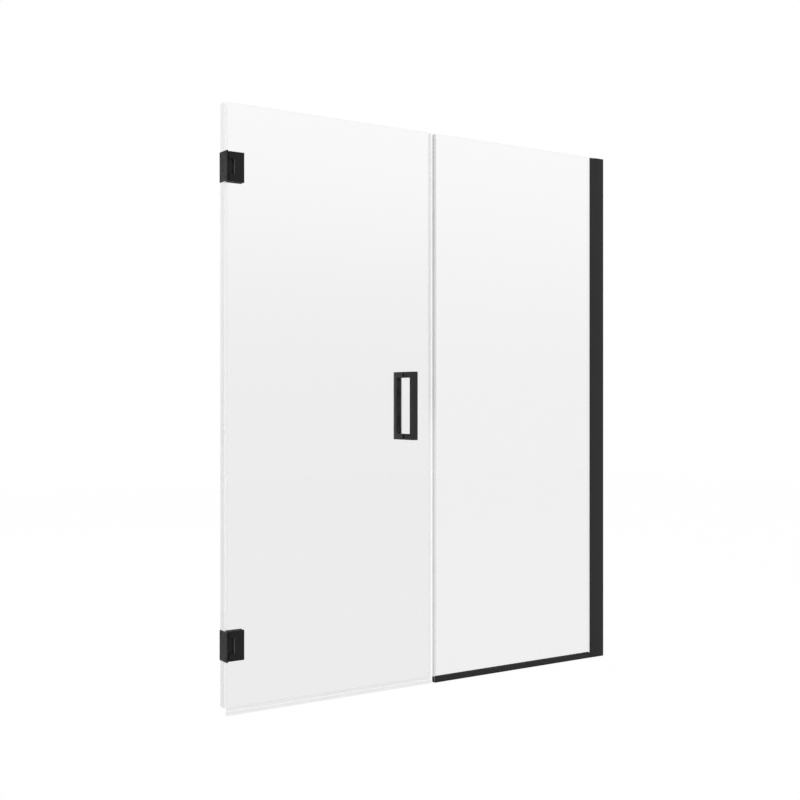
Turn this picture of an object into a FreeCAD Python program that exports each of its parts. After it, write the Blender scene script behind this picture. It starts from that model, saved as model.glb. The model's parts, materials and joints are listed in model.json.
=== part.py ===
import FreeCAD, Part
import os
import re
import Sketcher

# A hinged glass shower door beside a fixed glass panel, all in millimetres.
# X runs along the glass from the hinge wall to the far wall, Y from the outside of the shower to
# the inside, and Z up from the curb. The origin lies on the curb, half way between the two walls,
# in the middle plane of the glass.

SIZES = {
    # Whole enclosure
    "opening_width": 1524.0,
    "enclosure_height": 1829.0,
    "glass_thickness": 10.0,
    "glass_arris": 0.8,
    "edge_break": 0.5,
    "thread_clearance": 0.05,
    "cut_overrun": 2.0,
    # Door glass
    "door_wall_gap": 6.5,
    "door_glass_width": 744.5,
    "door_floor_gap": 13.0,
    "notch_depth": 34.0,
    "notch_height": 78.0,
    "notch_corner_radius": 6.0,
    # Hinge positions and pin
    "lower_hinge_height": 208.0,
    "upper_hinge_drop": 193.0,
    "pin_offset": 22.0,
    "pin_radius": 5.0,
    "pin_length": 72.0,
    "pin_running_clearance": 0.05,
    "pin_seat_clearance": 0.02,
    "pin_flat_depth": 0.5,
    "pin_flat_length": 14.0,
    # Hinge wall plate
    "plate_thickness": 5.0,
    "plate_width": 50.0,
    "plate_height": 90.0,
    "plate_hole_radius": 2.75,
    "plate_hole_spacing_across": 36.0,
    "plate_hole_spacing_up": 68.0,
    "plate_sink_radius": 5.2,
    # Pivot block with its screws and bushings
    "block_width": 17.0,
    "block_height": 44.0,
    "block_nose_radius": 9.4,
    "block_screw_radius": 2.5,
    "block_screw_head_radius": 4.6,
    "block_screw_spacing": 26.0,
    "block_screw_length": 13.5,
    "block_screw_recess": 0.4,
    "bushing_wall": 1.7,
    "bushing_length": 12.0,
    "bushing_flange_radius": 8.0,
    "bushing_flange_thickness": 0.8,
    # Self-centring stop in the block
    "detent_radius": 3.0,
    "detent_fit": 0.05,
    "detent_plunger_length": 3.3,
    "disc_spring_thickness": 0.5,
    "disc_spring_rise": 0.35,
    "disc_spring_bore_radius": 1.4,
    "disc_spring_gap": 0.02,
    "detent_spring_length": 5.0,
    "detent_screw_backset": 0.1,
    "small_socket_width": 2.5,
    "small_socket_depth": 1.5,
    # Clamps, their screws and gaskets
    "clamp_wall_gap": 11.5,
    "clamp_width": 51.5,
    "clamp_height": 90.0,
    "clamp_thickness": 7.5,
    "clamp_swing_chamfer": 2.0,
    "clamp_split": 0.2,
    "window_clearance": 0.4,
    "window_end_clearance": 1.0,
    "boss_inset": 0.5,
    "boss_side_clearance": 1.0,
    "boss_end_clearance": 1.5,
    "boss_corner_radius": 5.0,
    "gasket_thickness": 1.0,
    "gasket_inset": 0.5,
    "clamp_screw_radius": 3.0,
    "clamp_screw_head_radius": 5.0,
    "clamp_screw_head_height": 4.7,
    "clamp_screw_head_recess": 0.3,
    "clamp_screw_head_fit": 0.2,
    "clamp_screw_reach": 11.0,
    "clamp_screw_tip_gap": 0.5,
    "clamp_screw_offset": 11.0,
    "clamp_screw_spacing": 61.0,
    "clamp_socket_width": 4.0,
    "clamp_socket_depth": 2.5,
    # Handle
    "handle_height": 922.0,
    "handle_edge_distance": 99.5,
    "handle_bar": 19.0,
    "handle_spacing": 203.0,
    "handle_projection": 54.0,
    "handle_washer_thickness": 1.0,
    "handle_washer_radius": 8.5,
    "stud_radius": 4.0,
    "stud_engagement": 10.0,
    "stud_end_gap": 0.5,
    "sleeve_wall": 1.7,
    "sleeve_fit": 0.2,
    "handle_set_screw_radius": 2.5,
    "handle_set_screw_gap": 0.3,
    # Clear seals on the glass edges
    "seal_wall": 1.2,
    "seal_leg": 8.0,
    "seal_hinge_gap": 1.0,
    "seal_top_inset": 3.0,
    "fin_thickness": 0.8,
    "fin_wall_clearance": 0.4,
    "fin_reach": 20.0,
    "strike_gap": 14.0,
    "strike_clearance": 0.3,
    "bulb_overlap": 0.6,
    "bulb_wall": 0.9,
    "panel_seal_wall": 1.5,
    "panel_seal_leg": 6.5,
    "sweep_leg": 11.5,
    "sweep_floor_clearance": 0.4,
    "sweep_fin_thickness": 1.0,
    "sweep_rear_fin_drop": 9.3,
    "drip_rail_reach": 5.0,
    "drip_rail_thickness": 1.2,
    "drip_rail_drop": 3.5,
    # Fixed panel and its bottom channel
    "panel_floor_gap": 5.0,
    "channel_wall": 1.5,
    "channel_height": 20.0,
    "channel_setback": 0.5,
    "channel_strip_height": 12.0,
    "setting_block_length": 60.0,
    "setting_block_side_gap": 0.1,
    # Wall channel: a jamb on the wall and the wide profile that slides over it
    "profile_width": 66.0,
    "profile_half_depth": 8.0,
    "profile_wall": 1.7,
    "profile_wall_gap": 0.5,
    "profile_pocket": 22.0,
    "profile_inside_setback": 12.0,
    "profile_web": 2.0,
    "profile_top_drop": 2.0,
    "glass_end_gap": 2.0,
    "telescope_clearance": 0.3,
    "jamb_base": 2.0,
    "jamb_wall": 1.6,
    "jamb_reach": 38.0,
    "jamb_hole_radius": 2.75,
    "jamb_outer_hole_spacing": 1500.0,
    "jamb_inner_hole_spacing": 500.0,
    "glazing_gasket_width": 8.0,
    "expander_screw_radius": 2.0,
    "expander_screw_inset": 20.0,
    "expander_screw_end_distance": 150.0,
    "expander_screw_length": 5.0,
    "expander_screw_head_radius": 3.8,
    "expander_screw_head_height": 2.2,
    "cap_thickness": 1.5,
    "cap_tongue_depth": 8.0,
    "cap_tongue_clearance": 0.2,
}

# Places and shared fits that follow from the sizes, each worked out from names above it.
DERIVED = {
    "left_wall": "-opening_width / 2",
    "right_wall": "opening_width / 2",
    "glass_face": "glass_thickness / 2",
    "upper_hinge_height": "enclosure_height - upper_hinge_drop",
    "pin_x": "left_wall + pin_offset",
    "door_left": "left_wall + door_wall_gap",
    "door_right": "door_left + door_glass_width",
    "notch_x": "door_left + notch_depth",
    "plate_face": "left_wall + plate_thickness",
    "block_face": "block_width / 2",
    "bushing_bore": "pin_radius + pin_running_clearance",
    "bushing_radius": "bushing_bore + bushing_wall",
    "clamp_inner_face": "glass_face + gasket_thickness",
    "clamp_outer_face": "clamp_inner_face + clamp_thickness",
    "clamp_left": "left_wall + clamp_wall_gap",
    "clamp_right": "clamp_left + clamp_width",
    "window_x": "pin_x + block_nose_radius + window_clearance",
    "window_half": "block_height / 2 + window_end_clearance",
    "boss_left": "clamp_left + boss_inset",
    "boss_right": "notch_x - boss_side_clearance",
    "boss_half": "notch_height / 2 - boss_end_clearance",
    "clamp_screw_x": "pin_x + clamp_screw_offset",
    "head_seat": "clamp_outer_face - clamp_screw_head_recess - clamp_screw_head_height",
    "handle_x": "door_right - handle_edge_distance",
    "handle_foot": "glass_face + handle_washer_thickness",
    "handle_front": "glass_face + handle_projection",
    "handle_back": "handle_front - handle_bar",
    "handle_inner_half": "handle_spacing / 2 - handle_bar / 2",
    "handle_outer_half": "handle_spacing / 2 + handle_bar / 2",
    "seal_face": "glass_face + seal_wall",
    "seal_top": "enclosure_height - seal_top_inset",
    "seal_hinge_cut": "plate_height / 2 + seal_hinge_gap",
    "sweep_top": "door_floor_gap + sweep_leg",
    "sweep_web": "door_floor_gap - seal_wall",
    "panel_left": "door_right + strike_gap",
    "panel_seal_left": "panel_left - panel_seal_wall",
    "channel_left": "panel_left - channel_setback",
    "channel_face": "glass_face + gasket_thickness + channel_wall",
    "profile_left": "right_wall - profile_width",
    "profile_inside_left": "profile_left + profile_inside_setback",
    "profile_top": "enclosure_height - profile_top_drop - cap_thickness",
    "pocket_end": "profile_left + profile_pocket",
    "panel_right": "pocket_end - glass_end_gap",
    "profile_inner": "profile_half_depth - profile_wall",
    "jamb_outer": "profile_inner - telescope_clearance",
}

WORD = re.compile(r"[a-z_]+[a-z]")
document = FreeCAD.newDocument("ShowerDoor")


def make_sheet():
    """Write every driving size into the spreadsheet, one named cell each."""
    cells = document.addObject("Spreadsheet::Sheet", "Sizes")
    for row, (alias, size) in enumerate(SIZES.items(), start=1):
        cells.set(f"A{row}", alias)
        cells.set(f"B{row}", str(size))
        cells.setAlias(f"B{row}", alias)
    document.recompute()
    return cells


sheet = make_sheet()


def bound(text):
    """Turn a sum written with plain names into one that reads the spreadsheet."""

    def cell(match):
        name = match.group(0)
        if name in DERIVED:
            return "(" + bound(DERIVED[name]) + ")"
        return "Sizes." + name

    return WORD.sub(cell, text)


def number(text):
    """The present value of a sum of named sizes."""
    return float(sheet.evalExpression(bound(text)))


def origin_plane(body, role):
    """One of the body's own origin planes."""
    return next(item for item in body.Origin.OriginFeatures if item.Role == role)


def place(item, x="0", y="0", z="0"):
    """Tie an object's position to the spreadsheet."""
    for axis, text in (("x", x), ("y", y), ("z", z)):
        if text != "0":
            item.setExpression("Placement.Base." + axis, bound(text))


def start_sketch(body, name, plane, level):
    """A sketch on an origin plane, moved along the plane's normal to a named level."""
    sketch = body.newObject("Sketcher::SketchObject", name)
    sketch.AttachmentSupport = [(origin_plane(body, plane), "")]
    sketch.MapMode = "FlatFace"
    if level != "0":
        sketch.setExpression("AttachmentOffset.Base.z", bound(level))
    return sketch


def pin_point(sketch, geometry, vertex, point):
    """Tie one sketch point to a place given by two sums of named sizes."""
    for kind, text in zip(("DistanceX", "DistanceY"), point):
        index = sketch.addConstraint(Sketcher.Constraint(kind, -1, 1, geometry, vertex, number(text)))
        sketch.setExpression(f"Constraints[{index}]", bound(text))


def draw_outline(sketch, points):
    """A closed outline of straight lines through the named points."""
    corners = [FreeCAD.Vector(number(u), number(v), 0) for u, v in points]
    first = sketch.GeometryCount
    for here, after in zip(corners, corners[1:] + corners[:1]):
        sketch.addGeometry(Part.LineSegment(here, after), False)
    for index in range(len(points)):
        follower = first + (index + 1) % len(points)
        sketch.addConstraint(Sketcher.Constraint("Coincident", first + index, 2, follower, 1))
    for index, point in enumerate(points):
        pin_point(sketch, first + index, 1, point)


def draw_circle(sketch, centre, radius):
    """A circle about a named point."""
    middle = FreeCAD.Vector(number(centre[0]), number(centre[1]), 0)
    index = sketch.addGeometry(Part.Circle(middle, FreeCAD.Vector(0, 0, 1), number(radius)), False)
    pin_point(sketch, index, 3, centre)
    tie = sketch.addConstraint(Sketcher.Constraint("Radius", index, number(radius)))
    sketch.setExpression(f"Constraints[{tie}]", bound(radius))


def level_for(plane, low, high, cutting):
    """Where a sketch lies so that its feature fills the space from low to high."""
    if plane == "XZ_Plane":
        return f"-({low})" if cutting else f"-({high})"
    return high if cutting else low


def extrude(body, name, plane, low, high, outline=None, circles=(), cutting=False):
    """Add or take away an outline or circles between two levels along the plane's axis."""
    sketch = start_sketch(body, name + "_sketch", plane, level_for(plane, low, high, cutting))
    if outline:
        draw_outline(sketch, outline)
    for centre, radius in circles:
        draw_circle(sketch, centre, radius)
    document.recompute()
    before = body.Shape.Volume if cutting else 0
    feature = body.newObject("PartDesign::Pocket" if cutting else "PartDesign::Pad", name)
    feature.Profile = sketch
    feature.setExpression("Length", bound(f"({high}) - ({low})"))
    document.recompute()
    if cutting and not feature.Shape.Volume < before:
        raise RuntimeError(name + " cuts nothing")
    return feature


def new_body(name):
    """An empty body that carries the name of its piece."""
    return document.addObject("PartDesign::Body", name)


def edges_of(feature, wanted):
    """Names of the feature's edges that the test picks out."""
    return [f"Edge{index}" for index, edge in enumerate(feature.Shape.Edges, start=1) if wanted(edge)]


def dress(body, kind, name, size, wanted):
    """Fillet or chamfer the edges of a body that the test picks out."""
    base = body.Tip
    feature = body.newObject("PartDesign::" + kind, name)
    feature.Base = (base, edges_of(base, wanted))
    feature.setExpression("Radius" if kind == "Fillet" else "Size", bound(size))
    document.recompute()
    return feature


def on_level(axis, *levels):
    """A test for edges that lie wholly at one of the levels along an axis."""
    heights = [number(level) for level in levels]

    def test(edge):
        low = getattr(edge.BoundBox, axis + "Min")
        high = getattr(edge.BoundBox, axis + "Max")
        return any(abs(low - level) < edge_tolerance and abs(high - level) < edge_tolerance
                   for level in heights)

    return test


def along(axis, **places):
    """A test for straight edges along an axis that stand at named places on the other axes."""
    spots = {key: [number(text) for text in texts] for key, texts in places.items()}

    def test(edge):
        box = edge.BoundBox
        if not getattr(box, axis + "Length") > edge_tolerance:
            return False
        for key, values in spots.items():
            low = getattr(box, key + "Min")
            high = getattr(box, key + "Max")
            if high - low > edge_tolerance or all(abs(low - value) > edge_tolerance for value in values):
                return False
        return True

    return test


edge_search_share = 0.1
edge_tolerance = edge_search_share * number("edge_break")

TURNS = {
    "X": FreeCAD.Rotation(FreeCAD.Vector(0, 1, 0), 90),
    "Y": FreeCAD.Rotation(FreeCAD.Vector(1, 0, 0), -90),
    "Z": FreeCAD.Rotation(),
}


def box(name, x, y, z):
    """A block between two levels on each axis."""
    item = document.addObject("Part::Box", name)
    for side, (low, high) in zip(("Length", "Width", "Height"), (x, y, z)):
        item.setExpression(side, bound(f"({high}) - ({low})"))
    place(item, x[0], y[0], z[0])
    return item


def cylinder(name, axis, base, length, radius):
    """A round bar that starts at base and runs a length along an axis."""
    item = document.addObject("Part::Cylinder", name)
    item.setExpression("Radius", bound(radius))
    item.setExpression("Height", bound(length))
    item.Placement.Rotation = TURNS[axis]
    place(item, *base)
    return item


def cone(name, axis, base, length, start_radius, end_radius):
    """A cone frustum that starts at base and runs a length along an axis."""
    item = document.addObject("Part::Cone", name)
    item.setExpression("Radius1", bound(start_radius))
    item.setExpression("Radius2", bound(end_radius))
    item.setExpression("Height", bound(length))
    item.Placement.Rotation = TURNS[axis]
    place(item, *base)
    return item


def hexagon(name, axis, base, length, width):
    """A hexagonal bar of a given width across its flats."""
    item = document.addObject("Part::Prism", name)
    item.Polygon = 6
    item.setExpression("Circumradius", bound(f"({width}) / 2") + " / cos(30 deg)")
    item.setExpression("Height", bound(length))
    item.Placement.Rotation = TURNS[axis]
    place(item, *base)
    return item


def join(name, *items):
    """One solid made of overlapping or touching ones."""
    whole = document.addObject("Part::MultiFuse", name)
    whole.Shapes = list(items)
    whole.Refine = True
    return whole


def cut(name, base, *tools):
    """A solid less the tools."""
    result = document.addObject("Part::Cut", name)
    result.Base = base
    result.Tool = tools[0] if len(tools) == 1 else join(name + "_tools", *tools)
    return result


def group(name, items):
    """Separate solids that make one node."""
    result = document.addObject("Part::Compound", name)
    result.Links = list(items)
    return result


PIECES = []


def finish_piece(item, name, z="0"):
    """Label a finished piece, lift it to its height and keep it for the export."""
    item.Label = name
    place(item, z=z)
    PIECES.append(item)
    return item


def make_wall_plate(side, height):
    """Square plate against the wall, with countersunk holes for four wall screws."""
    body = new_body(side + "WallPlate")
    half_width = "plate_width / 2"
    half_height = "plate_height / 2"
    rectangle = [("-" + half_width, "-" + half_height), (half_width, "-" + half_height),
                 (half_width, half_height), ("-" + half_width, half_height)]
    extrude(body, side + "PlatePad", "YZ_Plane", "left_wall", "plate_face", rectangle)
    dress(body, "Chamfer", side + "PlateEdge", "edge_break", on_level("X", "plate_face"))
    sketch = start_sketch(body, side + "WallHoleSketch", "YZ_Plane", "plate_face")
    for across in ("-", ""):
        for up in ("-", ""):
            centre = (across + "plate_hole_spacing_across / 2", up + "plate_hole_spacing_up / 2")
            draw_circle(sketch, centre, "plate_hole_radius")
    document.recompute()
    holes = body.newObject("PartDesign::Hole", side + "WallHoles")
    holes.Profile = sketch
    holes.Threaded = False
    holes.DepthType = "ThroughAll"
    holes.HoleCutType = "Countersink"
    holes.HoleCutCustomValues = True
    holes.HoleCutCountersinkAngle = 90
    holes.setExpression("Diameter", bound("2 * plate_hole_radius"))
    holes.setExpression("HoleCutDiameter", bound("2 * plate_sink_radius"))
    document.recompute()
    for index, sign in enumerate(("-", "")):
        centre = ("0", sign + "block_screw_spacing / 2")
        label = f"{side}BlockScrewHole{index}"
        radius = "block_screw_radius + thread_clearance"
        extrude(body, label, "YZ_Plane", "left_wall", "plate_face", circles=[(centre, radius)], cutting=True)
        sink = body.newObject("PartDesign::SubtractiveCone", label + "Sink")
        depth = "block_screw_head_radius - block_screw_radius"
        mouth = "block_screw_head_radius + block_screw_recess + thread_clearance"
        sink.setExpression("Radius1", bound(mouth))
        sink.setExpression("Radius2", bound("block_screw_radius + thread_clearance"))
        sink.setExpression("Height", bound(depth + " + block_screw_recess"))
        sink.Placement.Rotation = TURNS["X"]
        place(sink, "left_wall", z=centre[1])
        document.recompute()
    finish_piece(body, side.lower() + "_hinge_wall_plate", height)


def make_pivot_block(side, height):
    """Block on the wall plate, with a round nose about the pin, bored for bushings and the stop."""
    body = new_body(side + "PivotBlock")
    low, high = "-block_height / 2", "block_height / 2"
    nose_end = "pin_x + block_nose_radius + cut_overrun"
    square = [("plate_face", "-block_face"), ("pin_x", "-block_face"),
              ("pin_x", "block_face"), ("plate_face", "block_face")]
    extrude(body, side + "BlockPad", "XY_Plane", low, high, square)
    nose = [(("pin_x", "0"), "block_nose_radius")]
    extrude(body, side + "BlockNose", "XY_Plane", low, high, circles=nose)
    for index, sign in enumerate(("-", "")):
        flat = [("plate_face", sign + "block_face"), (nose_end, sign + "block_face"),
                (nose_end, sign + "(block_nose_radius + cut_overrun)"),
                ("plate_face", sign + "(block_nose_radius + cut_overrun)")]
        extrude(body, f"{side}BlockFlat{index}", "XY_Plane", low, high, flat, cutting=True)
    bore = [(("pin_x", "0"), "bushing_radius")]
    extrude(body, side + "BlockBore", "XY_Plane", low, high, circles=bore, cutting=True)
    stop = [(("0", "0"), "detent_radius + detent_fit")]
    extrude(body, side + "StopBore", "YZ_Plane", "plate_face", "pin_x - pin_radius",
            circles=stop, cutting=True)
    threads = [(("0", sign + "block_screw_spacing / 2"), "block_screw_radius + thread_clearance")
               for sign in ("-", "")]
    tip = "left_wall + block_screw_recess + block_screw_length + thread_clearance"
    extrude(body, side + "BlockThreads", "YZ_Plane", "plate_face", tip, circles=threads, cutting=True)
    finish_piece(body, side.lower() + "_hinge_pivot_block", height)


def make_block_screws(side, height):
    """Two countersunk screws from the back of the plate into the block."""
    screws = []
    for index, sign in enumerate(("-", "")):
        name = f"{side}BlockScrew{index}"
        centre = ("left_wall + block_screw_recess", "0", sign + "block_screw_spacing / 2")
        shank = cylinder(name + "Shank", "X", centre, "block_screw_length", "block_screw_radius")
        rise = "block_screw_head_radius - block_screw_radius"
        head = cone(name + "Head", "X", centre, rise, "block_screw_head_radius", "block_screw_radius")
        socket = hexagon(name + "Socket", "X", centre, "small_socket_depth", "small_socket_width")
        screws.append(cut(name, join(name + "Solid", shank, head), socket))
    finish_piece(group(side + "BlockScrews", screws), side.lower() + "_hinge_block_screws", height)


def make_bushings(side, height):
    """Two flanged sleeves; the flanges carry the clamps."""
    sleeves = []
    for index, upward in enumerate((False, True)):
        name = f"{side}Bushing{index}"
        start = "block_height / 2 - bushing_length" if upward else "-block_height / 2"
        flange = "block_height / 2" if upward else "-block_height / 2 - bushing_flange_thickness"
        sleeve = cylinder(name + "Sleeve", "Z", ("pin_x", "0", start), "bushing_length", "bushing_radius")
        collar = cylinder(name + "Collar", "Z", ("pin_x", "0", flange),
                          "bushing_flange_thickness", "bushing_flange_radius")
        bore_base = ("pin_x", "0", "-block_height")
        bore = cylinder(name + "Bore", "Z", bore_base, "2 * block_height", "bushing_bore")
        sleeves.append(cut(name, join(name + "Solid", sleeve, collar), bore))
    finish_piece(group(side + "Bushings", sleeves), side.lower() + "_hinge_bushings", height)


def make_pivot_pin(side, height):
    """Pin held by the clamps, with a flat in its middle that faces the stop."""
    pin = cylinder(side + "PinBar", "Z", ("pin_x", "0", "-pin_length / 2"), "pin_length", "pin_radius")
    flat = box(side + "PinFlat",
               ("pin_x - pin_radius - cut_overrun", "pin_x - pin_radius + pin_flat_depth"),
               ("-pin_radius", "pin_radius"), ("-pin_flat_length / 2", "pin_flat_length / 2"))
    finish_piece(cut(side + "PivotPin", pin, flat), side.lower() + "_hinge_pivot_pin", height)


def make_detent(side, height):
    """Plunger, stacked disc springs and adjusting screw of the self-centring stop."""
    tip = "pin_x - pin_radius - 2 * detent_fit"
    back = f"{tip} - detent_plunger_length"
    plunger = cylinder(side + "Plunger", "X", (back, "0", "0"), "detent_plunger_length", "detent_radius")
    finish_piece(plunger, side.lower() + "_hinge_detent_plunger", height)
    pitch = "(disc_spring_thickness + disc_spring_rise + disc_spring_gap)"
    discs = []
    count = int(number("detent_spring_length") / number(pitch))
    for index in range(count):
        name = f"{side}DiscSpring{index}"
        start = f"{back} - {pitch} * {index + 1} + disc_spring_gap"
        wide_end, narrow_end = "detent_radius", "disc_spring_bore_radius"
        outer = cylinder(name + "Blank", "X", (start, "0", "0"),
                         "disc_spring_thickness + disc_spring_rise", "detent_radius")
        bore = cylinder(name + "Bore", "X", (start, "0", "0"),
                        "disc_spring_thickness + disc_spring_rise", "disc_spring_bore_radius")
        dish_start = start if index % 2 else f"{start} + disc_spring_thickness"
        if index % 2:
            wide_end, narrow_end = narrow_end, wide_end
        dish = cone(name + "Dish", "X", (dish_start, "0", "0"), "disc_spring_rise", narrow_end, wide_end)
        discs.append(cut(name, outer, bore, dish))
    finish_piece(group(side + "DetentSpring", discs), side.lower() + "_hinge_detent_spring", height)
    end = f"{back} - {pitch} * {count}"
    screw_base = ("plate_face + detent_screw_backset", "0", "0")
    length = f"({end}) - ({screw_base[0]})"
    screw = cylinder(side + "StopScrewBar", "X", screw_base, length, "detent_radius")
    socket = hexagon(side + "StopScrewSocket", "X", screw_base, "small_socket_depth", "small_socket_width")
    finish_piece(cut(side + "StopScrew", screw, socket), side.lower() + "_hinge_detent_set_screw", height)


def window_outline(left, right, half):
    """A rectangle with the clamp's window cut into its wall side."""
    return [(left, f"-({half})"), (right, f"-({half})"), (right, half), (left, half),
            (left, "window_half"), ("window_x", "window_half"),
            ("window_x", "-window_half"), (left, "-window_half")]


def make_clamp(side, height, inside):
    """Clamp plate with the half boss that fills the notch and seats half of the pin."""
    name = side + ("InnerClamp" if inside else "OuterClamp")
    body = new_body(name)
    if inside:
        plate = ("clamp_inner_face", "clamp_outer_face")
        boss = ("clamp_split / 2", "clamp_inner_face")
        face = "clamp_outer_face"
    else:
        plate = ("-clamp_outer_face", "-clamp_inner_face")
        boss = ("-clamp_inner_face", "-clamp_split / 2")
        face = "-clamp_outer_face"
    extrude(body, name + "Boss", "XZ_Plane", *boss, window_outline("boss_left", "boss_right", "boss_half"))
    corners = along("Y", X=["boss_right"], Z=["boss_half", "-boss_half"])
    dress(body, "Fillet", name + "BossCorners", "boss_corner_radius", corners)
    extrude(body, name + "Plate", "XZ_Plane", *plate,
            window_outline("clamp_left", "clamp_right", "clamp_height / 2"))
    dress(body, "Chamfer", name + "SwingEdge", "clamp_swing_chamfer", along("Z", X=["clamp_left"], Y=[face]))
    dress(body, "Chamfer", name + "FaceEdge", "edge_break", on_level("Y", face))
    extrude(body, name + "PinSeat", "XY_Plane", "-pin_length / 2", "pin_length / 2",
            circles=[(("pin_x", "0"), "pin_radius + pin_seat_clearance")], cutting=True)
    holes = [(("clamp_screw_x", sign + "clamp_screw_spacing / 2"), "clamp_screw_radius + thread_clearance")
             for sign in ("-", "")]
    if inside:
        heads = [(centre, "clamp_screw_head_radius + clamp_screw_head_fit") for centre, _ in holes]
        extrude(body, name + "Holes", "XZ_Plane", "0", "clamp_outer_face", circles=holes, cutting=True)
        extrude(body, name + "Heads", "XZ_Plane", "head_seat", "clamp_outer_face",
                circles=heads, cutting=True)
    else:
        extrude(body, name + "Holes", "XZ_Plane", "-clamp_screw_reach", "0", circles=holes, cutting=True)
    finish_piece(body, side.lower() + ("_hinge_inner_clamp" if inside else "_hinge_outer_clamp"), height)


def make_gasket(side, height, inside):
    """Sheet gasket between a clamp plate and the glass, open where the notch is."""
    name = side + ("InnerGasket" if inside else "OuterGasket")
    body = new_body(name)
    sheet_range = ("glass_face", "clamp_inner_face") if inside else ("-clamp_inner_face", "-glass_face")
    left, right = "clamp_left + gasket_inset", "clamp_right - gasket_inset"
    half, notch = "clamp_height / 2 - gasket_inset", "notch_height / 2"
    outline = [(left, f"-({half})"), (right, f"-({half})"), (right, half), (left, half),
               (left, notch), ("notch_x", notch), ("notch_x", "-" + notch), (left, "-" + notch)]
    extrude(body, name + "Pad", "XZ_Plane", *sheet_range, outline)
    finish_piece(body, side.lower() + ("_hinge_inner_gasket" if inside else "_hinge_outer_gasket"), height)


def make_clamp_screws(side, height):
    """Two socket screws from the inside that draw the clamps together."""
    screws = []
    for index, sign in enumerate(("-", "")):
        name = f"{side}ClampScrew{index}"
        z = sign + "clamp_screw_spacing / 2"
        tip = ("clamp_screw_x", "-clamp_screw_reach + clamp_screw_tip_gap", z)
        shank_length = "head_seat + clamp_screw_reach - clamp_screw_tip_gap"
        shank = cylinder(name + "Shank", "Y", tip, shank_length, "clamp_screw_radius")
        head = cylinder(name + "Head", "Y", ("clamp_screw_x", "head_seat", z),
                        "clamp_screw_head_height", "clamp_screw_head_radius")
        bottom = "head_seat + clamp_screw_head_height - clamp_socket_depth"
        socket = hexagon(name + "Socket", "Y", ("clamp_screw_x", bottom, z),
                         "clamp_socket_depth", "clamp_socket_width")
        screws.append(cut(name, join(name + "Solid", shank, head), socket))
    finish_piece(group(side + "ClampScrews", screws), side.lower() + "_hinge_clamp_screws", height)


def make_door_glass():
    """Door pane with two hinge notches, two handle holes and ground edges."""
    body = new_body("DoorGlass")
    outline = [("door_left", "door_floor_gap"), ("door_right", "door_floor_gap"),
               ("door_right", "enclosure_height"), ("door_left", "enclosure_height")]
    ends = []
    for height in ("upper_hinge_height", "lower_hinge_height"):
        top, bottom = f"{height} + notch_height / 2", f"{height} - notch_height / 2"
        outline += [("door_left", top), ("notch_x", top), ("notch_x", bottom), ("door_left", bottom)]
        ends += [top, bottom]
    hole_radius = "stud_radius + sleeve_fit + sleeve_wall"
    holes = [(("handle_x", f"handle_height {sign} handle_spacing / 2"), hole_radius) for sign in ("-", "+")]
    extrude(body, "DoorPane", "XZ_Plane", "-glass_face", "glass_face", outline)
    extrude(body, "HandleHoles", "XZ_Plane", "-glass_face", "glass_face", circles=holes, cutting=True)
    dress(body, "Fillet", "NotchCorners", "notch_corner_radius", along("Y", X=["notch_x"], Z=ends))
    dress(body, "Chamfer", "DoorArris", "glass_arris", on_level("Y", "-glass_face", "glass_face"))
    finish_piece(body, "door_glass")


def make_handle(inside):
    """Square-bar pull: a bar with two legs to the glass."""
    name = "InnerHandle" if inside else "OuterHandle"
    sign = "" if inside else "-"
    body = new_body(name)
    left, right = "handle_x - handle_bar / 2", "handle_x + handle_bar / 2"
    outer, inner = "(handle_outer_half)", "(handle_inner_half)"
    bar = [(sign + "handle_front", "-" + outer), (sign + "handle_foot", "-" + outer),
           (sign + "handle_foot", "-" + inner), (sign + "(handle_back)", "-" + inner),
           (sign + "(handle_back)", inner), (sign + "handle_foot", inner),
           (sign + "handle_foot", outer), (sign + "handle_front", outer)]
    extrude(body, name + "Bar", "YZ_Plane", left, right, bar)
    dress(body, "Chamfer", name + "Edges", "edge_break", lambda edge: True)
    holes = [(("handle_x", end + "handle_spacing / 2"), "stud_radius + thread_clearance")
             for end in ("-", "")]
    deep = "handle_foot + stud_engagement"
    reach = ("handle_foot", deep) if inside else (f"-({deep})", "-handle_foot")
    extrude(body, name + "Studs", "XZ_Plane", *reach, circles=holes, cutting=True)
    if inside:
        centre = ("handle_x", "handle_foot + stud_engagement / 2")
        for index, (low, high) in enumerate((("-handle_spacing / 2", "-handle_inner_half"),
                                             ("handle_inner_half", "handle_spacing / 2"))):
            extrude(body, f"{name}SetHole{index}", "XY_Plane", low, high,
                    circles=[(centre, "handle_set_screw_radius + thread_clearance")], cutting=True)
    finish_piece(body, "inner_handle" if inside else "outer_handle", "handle_height")


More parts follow.
